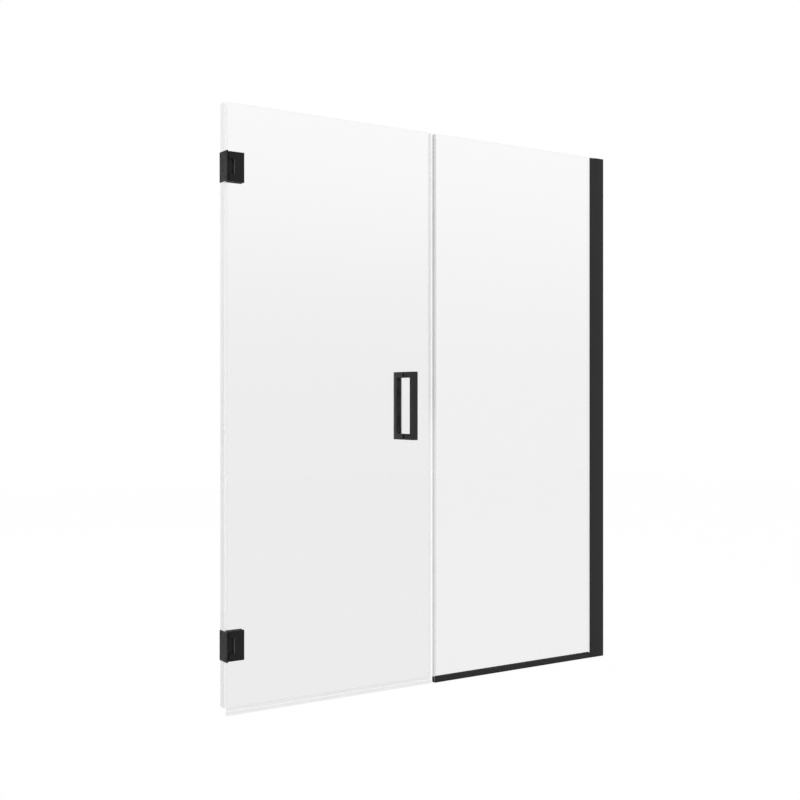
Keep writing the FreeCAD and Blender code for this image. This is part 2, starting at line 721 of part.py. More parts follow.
def make_handle_fasteners():
    """Studs, sleeves and washers through the glass, and set screws in the inner handle."""
    studs, sleeves, washers, setters = [], [], [], []
    end = "handle_foot + stud_engagement - stud_end_gap"
    for index, sign in enumerate(("-", "")):
        z = sign + "handle_spacing / 2"
        studs.append(cylinder(f"Stud{index}", "Y", ("handle_x", f"-({end})", z), f"2 * ({end})",
                              "stud_radius"))
        tube = cylinder(f"SleeveBody{index}", "Y", ("handle_x", "-glass_face", z), "glass_thickness",
                        "stud_radius + sleeve_wall")
        bore = cylinder(f"SleeveBore{index}", "Y", ("handle_x", "-glass_face", z), "glass_thickness",
                        "stud_radius + thread_clearance")
        sleeves.append(cut(f"Sleeve{index}", tube, bore))
        for face, start in (("Outer", "-handle_foot"), ("Inner", "glass_face")):
            disc = cylinder(f"{face}WasherBody{index}", "Y", ("handle_x", start, z),
                            "handle_washer_thickness", "handle_washer_radius")
            hole = cylinder(f"{face}WasherHole{index}", "Y", ("handle_x", start, z),
                            "handle_washer_thickness", "stud_radius + thread_clearance")
            washers.append(cut(f"{face}Washer{index}", disc, hole))
        gap = "(stud_radius + handle_set_screw_gap)"
        length = "handle_bar / 2 - stud_radius - 2 * handle_set_screw_gap"
        low = f"{z} - {gap} - ({length})" if sign == "" else f"{z} + {gap}"
        base = ("handle_x", "handle_foot + stud_engagement / 2", low)
        screw = cylinder(f"SetScrewBar{index}", "Z", base, length, "handle_set_screw_radius")
        mouth = low if sign == "" else f"{low} + {length} - small_socket_depth"
        socket = hexagon(f"SetScrewSocket{index}", "Z", (base[0], base[1], mouth),
                         "small_socket_depth", "small_socket_width")
        setters.append(cut(f"SetScrew{index}", screw, socket))
    finish_piece(group("HandleStuds", studs), "handle_studs", "handle_height")
    finish_piece(group("HandleSleeves", sleeves), "handle_sleeves", "handle_height")
    finish_piece(group("HandleWashers", washers), "handle_washers", "handle_height")
    finish_piece(group("HandleSetScrews", setters), "handle_set_screws", "handle_height")


def make_hinge_side_seal():
    """Channel on the hinge edge whose front leg bends back along the wall, in three lengths."""
    body = new_body("HingeSideSeal")
    leg, edge = "door_left + seal_leg", "door_left"
    web = "door_left - seal_wall"
    skin, fin = "left_wall + fin_wall_clearance", "left_wall + fin_wall_clearance + fin_thickness"
    section = [(leg, "-seal_face"), (skin, "-seal_face"), (skin, "fin_reach"), (fin, "fin_reach"),
               (fin, "-glass_face"), (web, "-glass_face"), (web, "seal_face"), (leg, "seal_face"),
               (leg, "glass_face"), (edge, "glass_face"), (edge, "-glass_face"), (leg, "-glass_face")]
    lengths = [("sweep_top", "lower_hinge_height - seal_hinge_cut"),
               ("lower_hinge_height + seal_hinge_cut", "upper_hinge_height - seal_hinge_cut"),
               ("upper_hinge_height + seal_hinge_cut", "seal_top")]
    for index, (low, high) in enumerate(lengths):
        extrude(body, f"SideSeal{index}", "XY_Plane", low, high, section)
    finish_piece(body, "hinge_side_seal")


def make_strike_seal():
    """Channel on the door's free edge with a hollow bulb that meets the fixed panel's strip."""
    body = new_body("StrikeSeal")
    leg, edge, web = "door_right - seal_leg", "door_right", "door_right + seal_wall"
    section = [(leg, "-seal_face"), (web, "-seal_face"), (web, "seal_face"), (leg, "seal_face"),
               (leg, "glass_face"), (edge, "glass_face"), (edge, "-glass_face"), (leg, "-glass_face")]
    extrude(body, "StrikeChannel", "XY_Plane", "sweep_top", "seal_top", section)
    tip = "(panel_seal_left - strike_clearance)"
    root = "(door_right + seal_wall - bulb_overlap)"
    centre = (f"({tip} + {root}) / 2", "0")
    radius = f"({tip} - {root}) / 2"
    extrude(body, "Bulb", "XY_Plane", "sweep_top", "seal_top", circles=[(centre, radius)])
    hollow = [(centre, f"{radius} - bulb_wall")]
    extrude(body, "BulbHollow", "XY_Plane", "sweep_top", "seal_top", circles=hollow, cutting=True)
    finish_piece(body, "strike_seal")


def make_bottom_sweep():
    """Channel under the door with two fins to the curb and a drip rail on the inside."""
    body = new_body("BottomSweep")
    foot = "sweep_floor_clearance"
    fin_root = "glass_face / 2"
    fin_low = "sweep_web - sweep_rear_fin_drop"
    fin_tip = "glass_face"
    rail = "seal_face + drip_rail_reach"
    rail_low = "sweep_web"
    section = [("-seal_face", "sweep_top"), ("-seal_face", foot),
               ("-seal_face + sweep_fin_thickness", foot), ("-glass_face", "sweep_web"),
               (fin_root, "sweep_web"), (fin_tip, fin_low),
               (f"{fin_tip} + sweep_fin_thickness", fin_low),
               (f"{fin_root} + sweep_fin_thickness", "sweep_web"),
               ("seal_face", "sweep_web"), ("seal_face", "sweep_web + drip_rail_drop - drip_rail_thickness"),
               (rail, rail_low), (rail, f"{rail_low} + drip_rail_thickness"),
               ("seal_face", "sweep_web + drip_rail_drop + drip_rail_thickness"), ("seal_face", "sweep_top"),
               ("glass_face", "sweep_top"), ("glass_face", "door_floor_gap"),
               ("-glass_face", "door_floor_gap"), ("-glass_face", "sweep_top")]
    extrude(body, "SweepLength", "YZ_Plane", "door_left - seal_wall", "door_right + seal_wall", section)
    finish_piece(body, "bottom_sweep")


def make_fixed_glass():
    """Fixed pane, standing in the bottom channel and running into the wall profile."""
    body = new_body("FixedGlass")
    outline = [("panel_left", "panel_floor_gap"), ("panel_right", "panel_floor_gap"),
               ("panel_right", "enclosure_height"), ("panel_left", "enclosure_height")]
    extrude(body, "FixedPane", "XZ_Plane", "-glass_face", "glass_face", outline)
    dress(body, "Chamfer", "FixedArris", "glass_arris", on_level("Y", "-glass_face", "glass_face"))
    finish_piece(body, "fixed_glass")


def make_panel_edge_seal():
    """Clear strip on the fixed pane's free edge, from the channel's top upwards."""
    body = new_body("PanelEdgeSeal")
    leg = "panel_left + panel_seal_leg"
    section = [("panel_seal_left", "-seal_face"), (leg, "-seal_face"), (leg, "-glass_face"),
               ("panel_left", "-glass_face"), ("panel_left", "glass_face"), (leg, "glass_face"),
               (leg, "seal_face"), ("panel_seal_left", "seal_face")]
    extrude(body, "PanelStrip", "XY_Plane", "channel_height", "seal_top", section)
    finish_piece(body, "panel_edge_seal")


def make_bottom_channel():
    """Channel bonded to the curb under the fixed pane, with its glazing strips and blocks."""
    body = new_body("BottomChannel")
    inner = "channel_face - channel_wall"
    section = [("-channel_face", "0"), ("channel_face", "0"), ("channel_face", "channel_height"),
               (inner, "channel_height"), (inner, "channel_wall"), (f"-({inner})", "channel_wall"),
               (f"-({inner})", "channel_height"), ("-channel_face", "channel_height")]
    extrude(body, "ChannelLength", "YZ_Plane", "channel_left", "profile_left", section)
    finish_piece(body, "bottom_channel")
    low = "channel_height - channel_strip_height"
    length, height = ("panel_left", "profile_left"), (low, "channel_height")
    outer_strip = box("OuterStrip", length, (f"-({inner})", "-glass_face"), height)
    inner_strip = box("InnerStrip", length, ("glass_face", inner), height)
    end_web = box("StripEndWeb", ("channel_left", "panel_left"), (f"-({inner})", inner),
                  ("channel_wall", "channel_height"))
    finish_piece(join("ChannelStrips", outer_strip, inner_strip, end_web), "channel_strips")
    blocks = []
    for index, quarters in enumerate((1, 3)):
        middle = f"channel_left + (profile_left - channel_left) * {quarters} / 4"
        blocks.append(box(f"SettingBlock{index}",
                          (f"{middle} - setting_block_length / 2", f"{middle} + setting_block_length / 2"),
                          (f"-({inner}) + setting_block_side_gap", f"{inner} - setting_block_side_gap"),
                          ("channel_wall", "panel_floor_gap")))
    finish_piece(group("SettingBlocks", blocks), "setting_blocks")


def make_wall_jamb():
    """Channel screwed to the far wall, which the wide profile slides over."""
    body = new_body("WallJamb")
    face, inner = "jamb_outer", "jamb_outer - jamb_wall"
    base, reach = "right_wall - jamb_base", "right_wall - jamb_reach"
    section = [("right_wall", "-jamb_outer"), ("right_wall", face), (reach, face), (reach, inner),
               (base, inner), (base, f"-({inner})"), (reach, f"-({inner})"), (reach, "-jamb_outer")]
    extrude(body, "JambLength", "XY_Plane", "0", "profile_top", section)
    holes = []
    for spacing in ("jamb_outer_hole_spacing", "jamb_inner_hole_spacing"):
        for sign in ("-", "+"):
            holes.append((("0", f"profile_top / 2 {sign} {spacing} / 2"), "jamb_hole_radius"))
    extrude(body, "JambHoles", "YZ_Plane", base, "right_wall", circles=holes, cutting=True)
    extrude(body, "JambScrewHoles", "XZ_Plane", inner, face, circles=expander_screw_holes(), cutting=True)
    finish_piece(body, "wall_jamb")


def expander_screw_centres():
    """Where the three screws cross the profile and the jamb, along X and Z."""
    x = "right_wall - expander_screw_inset"
    return [(x, "expander_screw_end_distance"), (x, "profile_top / 2"),
            (x, "profile_top - expander_screw_end_distance")]


def expander_screw_holes():
    """The holes for those screws, a little wider than their shanks."""
    return [(centre, "expander_screw_radius + thread_clearance") for centre in expander_screw_centres()]


def make_expander_profile():
    """Wide profile with a pocket for the glass on one side and the jamb on the other.

    Its inside lip is set back from the outside one, so that it does not show through the glass.
    """
    body = new_body("ExpanderProfile")
    left, short, right = "profile_left", "profile_inside_left", "right_wall - profile_wall_gap"
    web = "pocket_end + profile_web"
    out, inner = "profile_half_depth", "profile_inner"
    section = [(left, "-" + out), (right, "-" + out), (right, f"-({inner})"), (web, f"-({inner})"),
               (web, inner), (right, inner), (right, out), (short, out), (short, inner),
               ("pocket_end", inner), ("pocket_end", f"-({inner})"), (left, f"-({inner})")]
    extrude(body, "ProfileLength", "XY_Plane", "0", "profile_top", section)
    extrude(body, "ProfileScrewHoles", "XZ_Plane", inner, out, circles=expander_screw_holes(), cutting=True)
    finish_piece(body, "expander_profile")
    gaskets = []
    for name, start, faces in (("OuterGlazing", "profile_left", ("-profile_inner", "-glass_face")),
                               ("InnerGlazing", "profile_inside_left", ("glass_face", "profile_inner"))):
        gaskets.append(box(name, (start, start + " + glazing_gasket_width"), faces,
                           ("panel_floor_gap", "profile_top")))
    finish_piece(group("GlazingGaskets", gaskets), "glazing_gaskets")


def make_expander_screws():
    """Three pan-head screws on the inside that lock the profile on the jamb."""
    screws = []
    for index, (x, z) in enumerate(expander_screw_centres()):
        name = f"ExpanderScrew{index}"
        tip = "profile_half_depth - expander_screw_length"
        shank = cylinder(name + "Shank", "Y", (x, tip, z), "expander_screw_length", "expander_screw_radius")
        head = cylinder(name + "Pan", "Y", (x, "profile_half_depth", z),
                        "expander_screw_head_height", "expander_screw_head_radius")
        mouth = "profile_half_depth + expander_screw_head_height - small_socket_depth"
        socket = hexagon(name + "Socket", "Y", (x, mouth, z), "small_socket_depth", "small_socket_width")
        screws.append(cut(name, join(name + "Solid", shank, head), socket))
    finish_piece(group("ExpanderScrews", screws), "expander_screws")


def make_jamb_top_cap():
    """Cap over the open top of the jamb, with a tongue between its flanges."""
    cover = box("CapCover", ("pocket_end", "right_wall - profile_wall_gap"),
                ("-profile_half_depth", "profile_half_depth"),
                ("profile_top", "profile_top + cap_thickness"))
    side = "jamb_outer - jamb_wall - cap_tongue_clearance"
    near = "right_wall - jamb_reach + cap_tongue_clearance"
    far = "right_wall - jamb_base - cap_tongue_clearance"
    tongue = box("CapTongue", (near, far), (f"-({side})", side),
                 ("profile_top - cap_tongue_depth", "profile_top"))
    finish_piece(join("JambTopCap", cover, tongue), "jamb_top_cap")


def make_hinge(side, height):
    """Every piece of one wall hinge."""
    make_wall_plate(side, height)
    make_pivot_block(side, height)
    make_block_screws(side, height)
    make_bushings(side, height)
    make_pivot_pin(side, height)
    make_detent(side, height)
    for inside in (False, True):
        make_clamp(side, height, inside)
        make_gasket(side, height, inside)
    make_clamp_screws(side, height)


def make_door():
    """The swinging pane with its handles and seals."""
    make_door_glass()
    make_handle(inside=False)
    make_handle(inside=True)
    make_handle_fasteners()
    make_hinge_side_seal()
    make_strike_seal()
    make_bottom_sweep()


def make_fixed_side():
    """The fixed pane with its channel, wall profile and trim."""
    make_fixed_glass()
    make_panel_edge_seal()
    make_bottom_channel()
    make_wall_jamb()
    make_expander_profile()
    make_expander_screws()
    make_jamb_top_cap()


def check_document():
    """Stop before anything is written if an object failed or a piece is not a valid solid."""
    document.recompute()
    for item in document.Objects:
        if "Invalid" in item.State or "Error" in item.State:
            raise RuntimeError(f"{item.Name} failed: {item.State}")
    for item in PIECES:
        if item.Shape.isNull() or not item.Shape.isValid() or not item.Shape.Solids:
            raise RuntimeError(f"{item.Label} is not a valid solid")


def export_pieces():
    """Write each piece to its own file."""
    os.makedirs("parts", exist_ok=True)
    for item in PIECES:
        item.Shape.exportStep(f"parts/{item.Label}.step")
        bounds = item.Shape.BoundBox
        print(f"{item.Label}: {len(item.Shape.Solids)} solids, volume {item.Shape.Volume:.1f}, "
              f"x {bounds.XMin:.2f} {bounds.XMax:.2f}, y {bounds.YMin:.2f} {bounds.YMax:.2f}, "
              f"z {bounds.ZMin:.2f} {bounds.ZMax:.2f}")


make_hinge("Lower", "lower_hinge_height")
make_hinge("Upper", "upper_hinge_height")
make_door()
make_fixed_side()
check_document()
export_pieces()
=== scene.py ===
import json
import logging
import math
from collections.abc import Callable, Sequence
from dataclasses import dataclass
from enum import Enum

import bmesh
import bpy
from mathutils import Matrix, Vector

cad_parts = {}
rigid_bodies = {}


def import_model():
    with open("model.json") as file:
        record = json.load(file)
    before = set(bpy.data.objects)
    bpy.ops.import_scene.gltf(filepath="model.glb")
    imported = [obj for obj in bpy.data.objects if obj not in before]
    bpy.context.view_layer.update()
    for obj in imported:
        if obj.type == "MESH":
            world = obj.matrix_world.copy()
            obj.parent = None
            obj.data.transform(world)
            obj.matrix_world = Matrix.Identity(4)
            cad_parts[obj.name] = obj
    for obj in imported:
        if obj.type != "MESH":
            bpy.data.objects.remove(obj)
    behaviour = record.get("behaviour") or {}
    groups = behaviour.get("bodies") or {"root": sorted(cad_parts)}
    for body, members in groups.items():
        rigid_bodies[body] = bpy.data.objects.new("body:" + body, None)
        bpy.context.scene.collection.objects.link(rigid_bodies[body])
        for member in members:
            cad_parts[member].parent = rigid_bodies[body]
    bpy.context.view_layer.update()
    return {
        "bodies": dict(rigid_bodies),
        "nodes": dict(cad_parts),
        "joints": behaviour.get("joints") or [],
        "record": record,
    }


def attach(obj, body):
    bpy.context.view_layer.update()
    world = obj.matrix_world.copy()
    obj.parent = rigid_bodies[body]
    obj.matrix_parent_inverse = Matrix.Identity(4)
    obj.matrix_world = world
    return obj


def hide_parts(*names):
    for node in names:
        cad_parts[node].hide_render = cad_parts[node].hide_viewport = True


# A hinged glass shower door beside a fixed glass panel. Sizes are in millimetres in the classes and
# become metres when a mesh is made. X runs along the glass, Y from outside to inside, Z upwards.
# A face looks squarely along an axis when that part of its normal is over SQUARE_ON. A cutting solid
# reaches past the surface by OVERCUT, and a face lies on a line when it is less than NEAR from it.
# Points closer than SAME_POINT, in metres, become one.

MM = 0.001
LOG = logging.getLogger("shower_door")
EDGE_MARK = "edge"
SOFT_MARK = "soft"
SMOOTH_ANGLE = math.radians(32)
BROKEN_EDGE_ANGLE = math.radians(35)
BROKEN_EDGE_STEPS = 3
SIXTH_TURN = math.radians(60)
SAME_POINT = 1e-7
SQUARE_ON = 0.9
OVERCUT = 1.0
NEAR = 0.1
HINGE_HEIGHTS = (208.0, 1636.0)

Point = tuple[float, float]
Place = tuple[float, float, float]
Outline = list[Point]
Colour = tuple[float, float, float, float]
Mesh = bpy.types.Mesh
Face = bpy.types.MeshPolygon
Material = bpy.types.Material
Tree = bpy.types.NodeTree
Node = bpy.types.Node
Socket = bpy.types.NodeSocket
Source = Node | Socket
Solid = bmesh.types.BMesh


def grey(level: float) -> Colour:
    """The neutral colour of this linear level."""
    return (level, level, level, 1.0)


# Choices


class Body(Enum):
    """The two moving groups of the enclosure."""

    FIXED = "fixed_side"
    DOOR = "door"


class Slot(Enum):
    """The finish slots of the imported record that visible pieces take."""

    BLACK = "black_metal"
    GLASS = "glass"
    VINYL = "clear_vinyl"
    GASKET = "dark_gasket"


class Run(Enum):
    """The axis that a section is drawn out along, as the turn from the section's own plane."""

    ALONG_X = ((0, 0, 1), (1, 0, 0), (0, 1, 0))
    ALONG_Y = ((1, 0, 0), (0, 0, -1), (0, 1, 0))
    ALONG_Z = ((1, 0, 0), (0, 1, 0), (0, 0, 1))

    @property
    def matrix(self) -> Matrix:
        """The turn as a matrix."""
        return Matrix(self.value)

    @property
    def turn(self) -> Vector:
        """The turn as three angles."""
        return Vector(self.matrix.to_euler())


class Side(Enum):
    """Outside or inside of the shower, as the sign of Y."""

    OUTER = -1
    INNER = 1

    @property
    def label(self) -> str:
        """The side as the names of pieces have it."""
        return self.name.lower()


class Facing(Enum):
    """Where the heads of a row of fasteners point, as their turn in degrees."""

    INSIDE = (-90, 0, 0)
    HINGE_WALL = (0, -90, 0)

    @property
    def turn(self) -> Vector:
        """The turn in radians."""
        return Vector([math.radians(angle) for angle in self.value])


class Head(Enum):
    """Head shapes of the screws, as the rounding of their rims in millimetres."""

    COUNTERSUNK = 0.0
    CAP = 0.5
    PAN = 0.9


# Node trees


class NodeBoard:
    """Lays nodes in one tree and joins their sockets."""

    STEP = 190

    def __init__(self, tree: Tree) -> None:
        """Takes the tree to work in."""
        self.tree = tree

    def add(self, kind: str, values: dict | None = None, **settings: object) -> Node:
        """Adds one node.

        Args:
            kind: Blender's name of the node type.
            values: Input name or number to a value, or to a node or socket to join to it.
            settings: Properties of the node.

        Returns:
            The new node.
        """
        node = self.tree.nodes.new(kind)
        node.location = (self.STEP * len(self.tree.nodes), 0)
        for name, setting in settings.items():
            setattr(node, name, setting)
        for name, value in (values or {}).items():
            if isinstance(value, Source):
                self.join(value, node, name)
            else:
                node.inputs[name].default_value = value
        return node

    def join(self, source: Source, node: Node, name: str | int) -> None:
        """Joins a socket, or a node's first output, to an input of a node."""
        socket = source.outputs[0] if isinstance(source, Node) else source
        self.tree.links.new(socket, node.inputs[name])

    def group(self, tree: Tree, values: dict) -> Node:
        """Adds a node group with its own values and returns its node."""
        return self.add("ShaderNodeGroup", values, node_tree=tree)

    def noise(self, place: Source, scale: float | Socket, detail: float = 2.0,
              roughness: float = 0.5) -> Node:
        """Adds a noise texture and returns its node."""
        return self.add("ShaderNodeTexNoise", {
            "Vector": place, "Scale": scale, "Detail": detail, "Roughness": roughness,
        })

    def remap(self, value: Source, given: Point = (0.0, 1.0), wanted: Point = (0.0, 1.0)) -> Node:
        """Maps a value from the given range to the wanted one and returns the node."""
        return self.add("ShaderNodeMapRange", {
            0: value, 1: given[0], 2: given[1], 3: wanted[0], 4: wanted[1],
        })

    def compute(self, operation: str, *values: float | Source) -> Node:
        """Adds a maths node with these values and returns it."""
        return self.add("ShaderNodeMath", dict(enumerate(values)), operation=operation)

    def blend(self, factor: Source, first: Colour | Socket, second: Colour | Socket) -> Socket:
        """Mixes two colours and returns the mix."""
        values = {"Factor": factor, 6: first, 7: second}
        return self.add("ShaderNodeMix", values, data_type="RGBA").outputs[2]

    def mark(self, label: str) -> Socket:
        """Reads a mark of the faces and returns its socket."""
        return self.add("ShaderNodeAttribute", attribute_name=label).outputs["Fac"]

    def bump(self, height: Source, distance: float, strength: float) -> Node:
        """Turns a height into small bumps and returns the node."""
        return self.add("ShaderNodeBump", {
            "Height": height, "Distance": distance, "Strength": strength,
        })

    def choose(self, factor: Source, first: Source, second: Source) -> Node:
        """Mixes two shaders and returns the node."""
        return self.add("ShaderNodeMixShader", {"Fac": factor, 1: first, 2: second})


class GroupBoard(NodeBoard):
    """The board of a new node group with named sockets."""

    def __init__(self, kind: str, name: str, takes: dict[str, str], gives: dict[str, str]) -> None:
        """Starts the group.

        Args:
            kind: Type of the tree.
            name: Name of the group.
            takes: Input names and the types of their sockets.
            gives: Output names and the types of their sockets.
        """
        super().__init__(bpy.data.node_groups.new(name, kind))
        for way, sockets in (("INPUT", takes), ("OUTPUT", gives)):
            for label, sort in sockets.items():
                self.tree.interface.new_socket(
                    name=label, in_out=way, socket_type="NodeSocket" + sort)
        self.start = self.add("NodeGroupInput")

    def taken(self, name: str) -> Socket:
        """The socket of one of the group's inputs."""
        return self.start.outputs[name]

    def finish(self, results: dict[str, Source]) -> Tree:
        """Joins the results to the group's outputs and returns its tree."""
        self.add("NodeGroupOutput", results)
        return self.tree


class MaterialBoard(NodeBoard):
    """The board of a new material, with its object coordinates."""

    def __init__(self, name: str) -> None:
        """Starts the material.

        Args:
            name: Name of the material.
        """
        self.material = bpy.data.materials.new(name)
        self.material.use_nodes = True
        super().__init__(self.material.node_tree)
        self.tree.nodes.clear()
        self.place = self.add("ShaderNodeTexCoord").outputs["Object"]

    def height(self) -> Socket:
        """The height above the curb, in metres."""
        return self.add("ShaderNodeSeparateXYZ", {0: self.place}).outputs["Z"]

    def finish(self, surface: Source) -> Material:
        """Joins the surface to the output and returns the material."""
        self.add("ShaderNodeOutputMaterial", {"Surface": surface})
        return self.material


class SurfaceEffects:
    """Shader groups that the finishes share, each built once."""

    CLOUD_RANGE = (0.35, 0.65)
    WEAR_RANGE = (0.42, 0.62)

    def __init__(self) -> None:
        """Builds the groups."""
        self.grain = self.build_grain()
        self.wear = self.build_wear()
        self.brushing = self.build_brushing()

    def build_grain(self) -> Tree:
        """Lays fine grain: small bumps of a coating and the slow cloudiness over them.

        Returns:
            The group's tree.
        """
        takes = {"Coordinates": "Vector", "Grain Scale": "Float", "Cloud Scale": "Float"}
        gives = {"Height": "Float", "Cloud": "Float"}
        board = GroupBoard("ShaderNodeTree", "Fine Grain", takes, gives)
        place = board.taken("Coordinates")
        fine = board.noise(place, board.taken("Grain Scale"), roughness=0.6)
        slow = board.noise(place, board.taken("Cloud Scale"), detail=3.0)
        return board.finish({"Height": fine, "Cloud": board.remap(slow, self.CLOUD_RANGE)})

    def build_wear(self) -> Tree:
        """Lays a painted edge highlight: a mask, broken up in patches, on the faces that carry the edge
        mark.

        Returns:
            The group's tree.
        """
        takes = {"Coordinates": "Vector", "Edge": "Float", "Break Scale": "Float", "Amount": "Float"}
        board = GroupBoard("ShaderNodeTree", "Edge Wear", takes, {"Mask": "Float"})
        patches = board.noise(board.taken("Coordinates"), board.taken("Break Scale"), detail=4.0)
        broken = board.remap(patches, self.WEAR_RANGE)
        marked = board.compute("MULTIPLY", broken, board.taken("Edge"))
        return board.finish({"Mask": board.compute("MULTIPLY", marked, board.taken("Amount"))})

    @staticmethod
    def build_brushing() -> Tree:
        """Lays brushing: long thin scratches, stretched along one direction.

        Returns:
            The group's tree.
        """
        takes = {"Coordinates": "Vector", "Stretch": "Vector", "Line Scale": "Float"}
        board = GroupBoard("ShaderNodeTree", "Brushing", takes, {"Lines": "Float"})
        drawn = board.add("ShaderNodeVectorMath", {
            0: board.taken("Coordinates"), 1: board.taken("Stretch"),
        }, operation="MULTIPLY")
        lines = board.noise(drawn, board.taken("Line Scale"), detail=3.0)
        return board.finish({"Lines": lines})


# Finishes


@dataclass(frozen=True)
class MatteCoat:
    """A baked, moulded or ground matt surface: powder coat, nylon, gasket or glass edge; its glow,
    which only the glass edges have, is painted light.
    """

    name: str
    colour: Colour
    worn_colour: Colour
    roughness: Point = (0.42, 0.52)
    grain_scale: float = 2600.0
    cloud_scale: float = 16.0
    cloud_lift: float = 1.12
    bump_height: float = 0.00002
    bump_strength: float = 0.35
    break_scale: float = 420.0
    wear_amount: float = 0.5
    shine: float = 0.125
    cover: float = 1.0
    led_light: float = 0.0
    slot: Slot = Slot.BLACK

    def make(self, effects: SurfaceEffects) -> Material:
        """Builds the material.

        Args:
            effects: The shared shader groups.

        Returns:
            The finished material.
        """
        board = MaterialBoard(self.name)
        grain = board.group(effects.grain, {
            "Coordinates": board.place,
            "Grain Scale": self.grain_scale,
            "Cloud Scale": self.cloud_scale,
        })
        cloud = grain.outputs["Cloud"]
        wear = board.group(effects.wear, {
            "Coordinates": board.place,
            "Edge": board.mark(EDGE_MARK),
            "Break Scale": self.break_scale,
            "Amount": self.wear_amount,
        })
        lighter = tuple(min(1.0, part * self.cloud_lift) for part in self.colour[:3]) + (1.0,)
        clouded = board.blend(cloud, self.colour, lighter)
        return board.finish(board.add("ShaderNodeBsdfPrincipled", {
            # The broken edges are lightened as a painted highlight.
            "Base Color": board.blend(wear, clouded, self.worn_colour),
            "Roughness": board.remap(cloud, wanted=self.roughness),
            "Normal": board.bump(grain.outputs["Height"], self.bump_height, self.bump_strength),
            "Specular IOR Level": self.shine,
            "Alpha": self.cover,
            # Emission: a painted glow that lightens the glass edges, which are no lamps.
            "Emission Color": grey(1.0),
            "Emission Strength": self.led_light,
        }))


@dataclass(frozen=True)
class BrushedSteel:
    """Bare metal with fine brushing or saw marks along one direction."""

    name: str
    colour: Colour
    dull_colour: Colour
    stretch: Place = (1.0, 1.0, 0.03)
    line_scale: float = 2400.0
    roughness: Point = (0.24, 0.42)
    bump_height: float = 0.00001
    bump_strength: float = 0.25

    def make(self, effects: SurfaceEffects) -> Material:
        """Builds the material.

        Args:
            effects: The shared shader groups.

        Returns:
            The finished material.
        """
        board = MaterialBoard(self.name)
        lines = board.group(effects.brushing, {
            "Coordinates": board.place, "Stretch": self.stretch, "Line Scale": self.line_scale,
        })
        return board.finish(board.add("ShaderNodeBsdfPrincipled", {
            "Base Color": board.blend(lines, self.colour, self.dull_colour),
            "Roughness": board.remap(lines, wanted=self.roughness),
            "Normal": board.bump(lines, self.bump_height, self.bump_strength),
            "Metallic": 1.0,
        }))


@dataclass(frozen=True)
class ClearGlass:
    """Toughened glass: even and clear, with a painted reflection that makes it a little greyer low
    down, and with only a pale shadow.
    """

    name: str
    tones: tuple[Point, ...]
    full_height: float = 1.829
    ior: float = 1.5
    shadow_tone: float = 0.93
    slot: Slot = Slot.GLASS

    def make(self, effects: SurfaceEffects) -> Material:
        """Builds the material.

        Args:
            effects: The shared shader groups, of which glass needs none.

        Returns:
            The finished material.
        """
        board = MaterialBoard(self.name)
        # Painted reflection: the tint is ramped by height, greyer low down.
        share = board.remap(board.height(), (0.0, self.full_height))
        ramp = board.add("ShaderNodeValToRGB", {0: share})
        ramp.color_ramp.interpolation = "B_SPLINE"
        stops = ramp.color_ramp.elements
        while len(stops) < len(self.tones):
            stops.new(0.5)
        for stop, (level, tone) in zip(stops, self.tones):
            stop.position = level
            stop.color = grey(tone)
        clear = board.add("ShaderNodeBsdfPrincipled", {
            "Base Color": ramp, "Roughness": 0.0, "IOR": self.ior, "Transmission Weight": 1.0,
        })
        pale = board.add("ShaderNodeBsdfTransparent", {"Color": grey(self.shadow_tone)})
        path = board.add("ShaderNodeLightPath")
        return board.finish(board.choose(path.outputs["Is Shadow Ray"], clear, pale))


@dataclass(frozen=True)
class SoftVinyl:
    """Extruded vinyl: a nearly clear channel with milky soft fins on the same section, its cover and
    colour changed above a turn height as a painted reflection.
    """

    name: str
    colour: Colour
    milky_colour: Colour
    clear_cover: float = 0.03
    milky_cover: float = 0.34
    upper_cover: float = 0.0
    upper_thinning: float = 0.0
    turn_heights: Point = (0.80, 0.98)
    roughness: Point = (0.22, 0.34)
    grain_scale: float = 900.0
    cloud_scale: float = 9.0
    unevenness: Point = (0.94, 1.06)
    bump_height: float = 0.00002
    bump_strength: float = 0.2
    slot: Slot = Slot.VINYL

    def make(self, effects: SurfaceEffects) -> Material:
        """Builds the material.

        Args:
            effects: The shared shader groups.

        Returns:
            The finished material.
        """
        board = MaterialBoard(self.name)
        grain = board.group(effects.grain, {
            "Coordinates": board.place,
            "Grain Scale": self.grain_scale,
            "Cloud Scale": self.cloud_scale,
        })
        cloud = grain.outputs["Cloud"]
        soft = board.mark(SOFT_MARK)
        # Painted reflection: above the turn height the colour turns milky and the cover changes.
        upper = board.remap(board.height(), self.turn_heights)
        shaded = board.compute("MAXIMUM", soft, upper)
        cover = board.remap(soft, wanted=(self.clear_cover, self.milky_cover))
        change = board.remap(soft, wanted=(self.upper_cover, -self.upper_thinning))
        whole = board.compute("MULTIPLY_ADD", upper, change, cover)
        uneven = board.remap(cloud, wanted=self.unevenness)
        return board.finish(board.add("ShaderNodeBsdfPrincipled", {
            "Base Color": board.blend(shaded, self.colour, self.milky_colour),
            "Roughness": board.remap(cloud, wanted=self.roughness),
            "Alpha": board.compute("MULTIPLY", whole, uneven),
            "Normal": board.bump(grain.outputs["Height"], self.bump_height, self.bump_strength),
        }))


